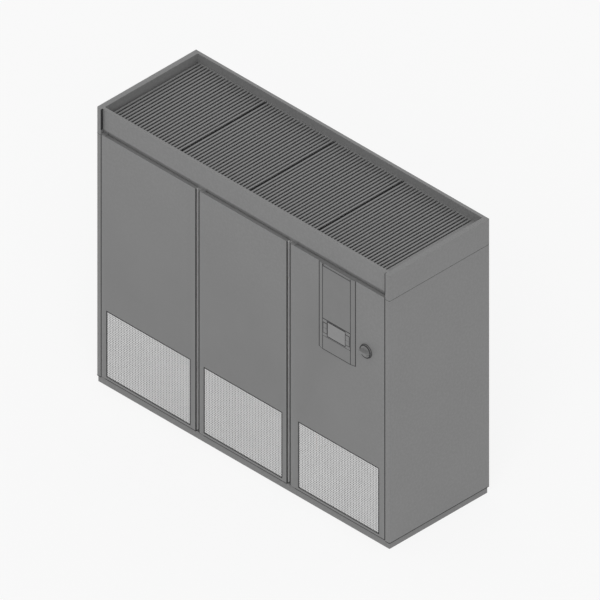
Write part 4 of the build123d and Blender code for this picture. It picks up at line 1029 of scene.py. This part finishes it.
def make_wires():
    """Wires between the devices, the ducts and the isolator."""
    device, inside = BOARD_FACE - DEVICE_DEPTH, BOARD_FACE - WIRE_DEPTH
    kinds = (wire_black, wire_brown, wire_blue)
    wires = {kind: [] for kind in kinds}

    def add(kind, start, end, start_pull, end_pull, radius=WIRE_RADIUS):
        wires[kind].append((curve(start, end, start_pull, end_pull), radius))

    # Over the contactors to the middle duct, and under them to the terminals
    for k in range(CONTACTOR_ROW[0]):
        for j, kind in enumerate(kinds):
            x, foot = lane(CONTACTOR_ROW, k, j), lane(TERMINAL_TOP_ROW, k, j)
            low, high = ((x, device, z) for z in CONTACTOR_HEIGHTS)
            add(kind, high, (x, inside, MIDDLE_DUCT_WIRES), (0, 0, 0.03), (0, 0, -0.02))
            add(kind, low, (foot, inside, TERMINAL_HEIGHTS[1]), (0, 0, -0.03), (0, 0, 0.02))
    # From the terminals down to the lowest duct
    for k in range(TERMINAL_FOOT_ROW[0]):
        for j, kind in enumerate(kinds):
            x = lane(TERMINAL_FOOT_ROW, k, j)
            end = (x, inside - WIRE_LEAN, LOWEST_DUCT_WIRES)
            add(kind, (x, inside, TERMINAL_HEIGHTS[0]), end, (0, 0, -0.01), (0, 0, 0.01))
    # Thin signal wires from the controller down to the middle duct
    for k in range(SIGNAL_ROW[0]):
        start, end = ((lane(SIGNAL_ROW, k, 0), inside, z) for z in CONTROLLER_WIRES)
        add(kinds[k % 3], start, end, (0, -0.022, -0.04), (0, -0.014, 0.03), SIGNAL_WIRE_RADIUS)
    # Mains wires from the isolator into the riser duct
    for j, kind in enumerate(kinds):
        start = (lane(MAINS_ROW, 0, j), inside, ISOLATOR_WIRES)
        end = (RISER_WIRES[0], inside, RISER_WIRES[1] - j * RISER_WIRE_PITCH)
        add(kind, start, end, (0, -0.01, -0.06), (0.04, -0.01, 0), MAINS_WIRE_RADIUS)
    for kind, runs in wires.items():

        def build(bm):
            for points, radius in runs:
                tube(bm, points, radius)

        new_piece(kind.name + "_loom", build, kind, "cabinet", True)


def ribbed_hose(bm, points, radius):
    """A corrugated conduit along a smooth run of points."""
    tube(bm, points, radius * CONDUIT_CORE, CONDUIT_SIDES)
    rib = CONDUIT_RIB_HALF
    profile = ((0.0, -rib), (radius, -rib), (radius, rib), (0.0, rib))
    total = sum((b - a).length for a, b in zip(points, points[1:]))
    run = 0.0
    while run < total:
        left = run
        for a, b in zip(points, points[1:]):
            if left <= (b - a).length:
                axis = (b - a).normalized()
                turned(bm, profile, a + axis * left, axis, CONDUIT_SIDES)
                break
            left -= (b - a).length
        run += CONDUIT_RIB_PITCH


def conduit(bm, x, z, run):
    """A conduit whose ends are counted from x, and its first end from z too."""
    start, end, start_pull, end_pull = run
    start, end = (x + start[0], start[1], z + start[2]), (x + end[0], end[1], end[2])
    points = curve(start, end, (0, 0, start_pull), (0, 0, end_pull), CONDUIT_STEPS)
    ribbed_hose(bm, points, CONDUIT_RADIUS)


def make_conduits():
    """Corrugated conduits that feed the fan motors and the compressors."""

    def build(bm):
        for name in ("left", "middle"):
            low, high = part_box(f"fan_motor_{name}")
            conduit(bm, (low[0] + high[0]) / 2, low[2], FAN_CONDUIT)
        for x in COMPRESSOR_PLACES:
            conduit(bm, x, 0.0, COMPRESSOR_CONDUIT)

    new_piece("power_conduits", build, wire_black, "cabinet", True)


def make_compressor_parts():
    """Terminal boxes of the compressors, their cover screws and a plug low on each shell."""

    def boxes(bm):
        for x in COMPRESSOR_PLACES:
            for half, y0, z0, y1, z1 in (TERMINAL_BOX, TERMINAL_COVER):
                block(bm, (x - half, y0, z0), (x + half, y1, z1))

    made = new_piece("compressor_terminal_boxes", boxes, device_plastic, "cabinet")
    bevel(made, TERMINAL_RADIUS)

    def bolts(bm):
        for x in COMPRESSOR_PLACES:
            for dx in (-TERMINAL_SCREW_REACH, TERMINAL_SCREW_REACH):
                for z in TERMINAL_SCREW_HEIGHTS:
                    pan_head(bm, (x + dx, TERMINAL_COVER[1], z), FORWARD)
            turned(bm, SIGHT_PLUG, (x, *SIGHT_PLUG_PLACE), FORWARD)

    new_piece("compressor_screws", bolts, screw_steel, "cabinet", True)


def make_board_screws():
    """Screws that hold the electrical board and the controller."""

    def build(bm):
        for x, heights in BOARD_SCREWS.items():
            for z in heights:
                pan_head(bm, (x, BOARD_FACE, z), FORWARD)
        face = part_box("controller")[0][1]
        for x in CONTROLLER_SCREWS[0]:
            for z in CONTROLLER_SCREWS[1]:
                pan_head(bm, (x, face, z), FORWARD)

    new_piece("board_screws", build, screw_steel, "cabinet", True)


def make_back_screws():
    """Low-head screws down the edges of the back panels, and a grommet at each pipe stub."""

    def build(bm):
        low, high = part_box("back_panels")
        z0, z1 = grown((low[2], high[2]), -BACK_SCREW_MARGIN)
        for left, right in zip(BACK_PANEL_EDGES, BACK_PANEL_EDGES[1:]):
            for x in grown((left, right), -BACK_SCREW_INSET):
                for k in range(BACK_SCREW_ROWS):
                    z = z0 + k * (z1 - z0) / (BACK_SCREW_ROWS - 1)
                    turned(bm, LOW_HEAD, (x, high[1], z), BACKWARD, SCREW_SIDES)

    new_piece("back_screws", build, screw_steel, "cabinet", True)

    def grommets(bm):
        for x, radius in SERVICE_STUBS:
            profile = [(radius + reach, height) for reach, height in GROMMET]
            turned_ring(bm, profile, (x, *SERVICE_STUB_PLACE), BACKWARD)

    new_piece("service_grommets", grommets, rubber, "cabinet", True)


# Light, floor and camera


def make_camera():
    """Isometric camera framed as in the photograph."""
    a, e = math.radians(CAMERA_AZIMUTH), math.radians(CAMERA_ELEVATION)
    forward = Vector((-math.sin(a) * math.cos(e), math.cos(a) * math.cos(e), -math.sin(e)))
    right = Vector((math.cos(a), math.sin(a), 0.0))
    up = right.cross(forward).normalized()
    data = bpy.data.cameras.new("camera")
    data.type = "ORTHO"
    data.ortho_scale = CAMERA_SPAN
    data.clip_end = CAMERA_REACH
    camera = bpy.data.objects.new("camera", data)
    bpy.context.scene.collection.objects.link(camera)
    turn = Matrix((right, up, -forward)).transposed().to_4x4()
    aim = right * AIM_RIGHT + up * AIM_UP
    camera.matrix_world = Matrix.Translation(aim - forward * CAMERA_DISTANCE) @ turn
    bpy.context.scene.camera = camera


def make_sun():
    """Soft main light from about the camera's side."""
    data = bpy.data.lights.new("key_light", "SUN")
    data.energy = SUN_STRENGTH
    data.angle = math.radians(SUN_SPREAD)
    lamp = bpy.data.objects.new("key_light", data)
    lamp.rotation_euler = Vector(SUN_DIRECTION).to_track_quat("-Z", "Y").to_euler()
    bpy.context.scene.collection.objects.link(lamp)


def seen_rays(tree):
    """1 for camera, glossy and transmission rays, else 0."""
    rays = node(tree, "ShaderNodeLightPath").outputs
    seen = rays["Is Camera Ray"]
    for other in ("Is Glossy Ray", "Is Transmission Ray"):
        seen = node(tree, "ShaderNodeMath", {0: seen, 1: rays[other]}, operation="MAXIMUM").outputs[0]
    return seen


def mixed(tree, share, first, second):
    """A mix of two shaders by the share of the second."""
    inputs = {0: share, 1: first.outputs[0], 2: second.outputs[0]}
    return node(tree, "ShaderNodeMixShader", inputs).outputs[0]


def make_world():
    """Even pale surroundings that look white to the camera."""
    world = bpy.data.worlds.new("studio")
    tree = empty_tree(world)
    light = node(tree, "ShaderNodeBackground", {"Color": WHITE, "Strength": WORLD_LIGHT})
    white = node(tree, "ShaderNodeBackground", {"Color": WHITE, "Strength": 1.0})
    node(tree, "ShaderNodeOutputWorld", {"Surface": mixed(tree, seen_rays(tree), light, white)})
    bpy.context.scene.world = world


def make_floor():
    """Pale studio floor that keeps the shadow."""
    material = bpy.data.materials.new("studio_floor")
    tree = empty_tree(material)
    diffuse = node(tree, "ShaderNodeBsdfDiffuse", {"Color": FLOOR_GREY})
    glow = node(tree, "ShaderNodeEmission", {"Color": WHITE, "Strength": 1.0})
    share = node(tree, "ShaderNodeMath", {0: seen_rays(tree), 1: FLOOR_GLOW}, operation="MULTIPLY")
    surface = mixed(tree, share.outputs[0], diffuse, glow)
    node(tree, "ShaderNodeOutputMaterial", {"Surface": surface})
    mesh = bpy.data.meshes.new("studio_floor")
    bm = bmesh.new()
    spots = ((-1, -1), (1, -1), (1, 1), (-1, 1))
    bm.faces.new([bm.verts.new((x * FLOOR_REACH, y * FLOOR_REACH, FLOOR_LEVEL)) for x, y in spots])
    bm.to_mesh(mesh)
    bm.free()
    mesh.materials.append(material)
    floor = bpy.data.objects.new("studio_floor", mesh)
    bpy.context.scene.collection.objects.link(floor)


bpy.context.scene.view_settings.view_transform = "Standard"
make_camera()
make_world()
make_floor()
make_sun()

dress_nodes()
for door in DOORS:
    make_door_grille(door)
    make_door_gasket(door)
make_window_trims()
make_bottom_strips()
make_control_panel_lines()
make_dial_gasket()
make_corner_lines()
for module in MODULES:
    make_louvre_module(module)
make_module_seals()
make_coil_fins()
make_coil_tubes()
make_ducts()
make_wires()
make_conduits()
make_compressor_parts()
make_board_screws()
make_back_screws()
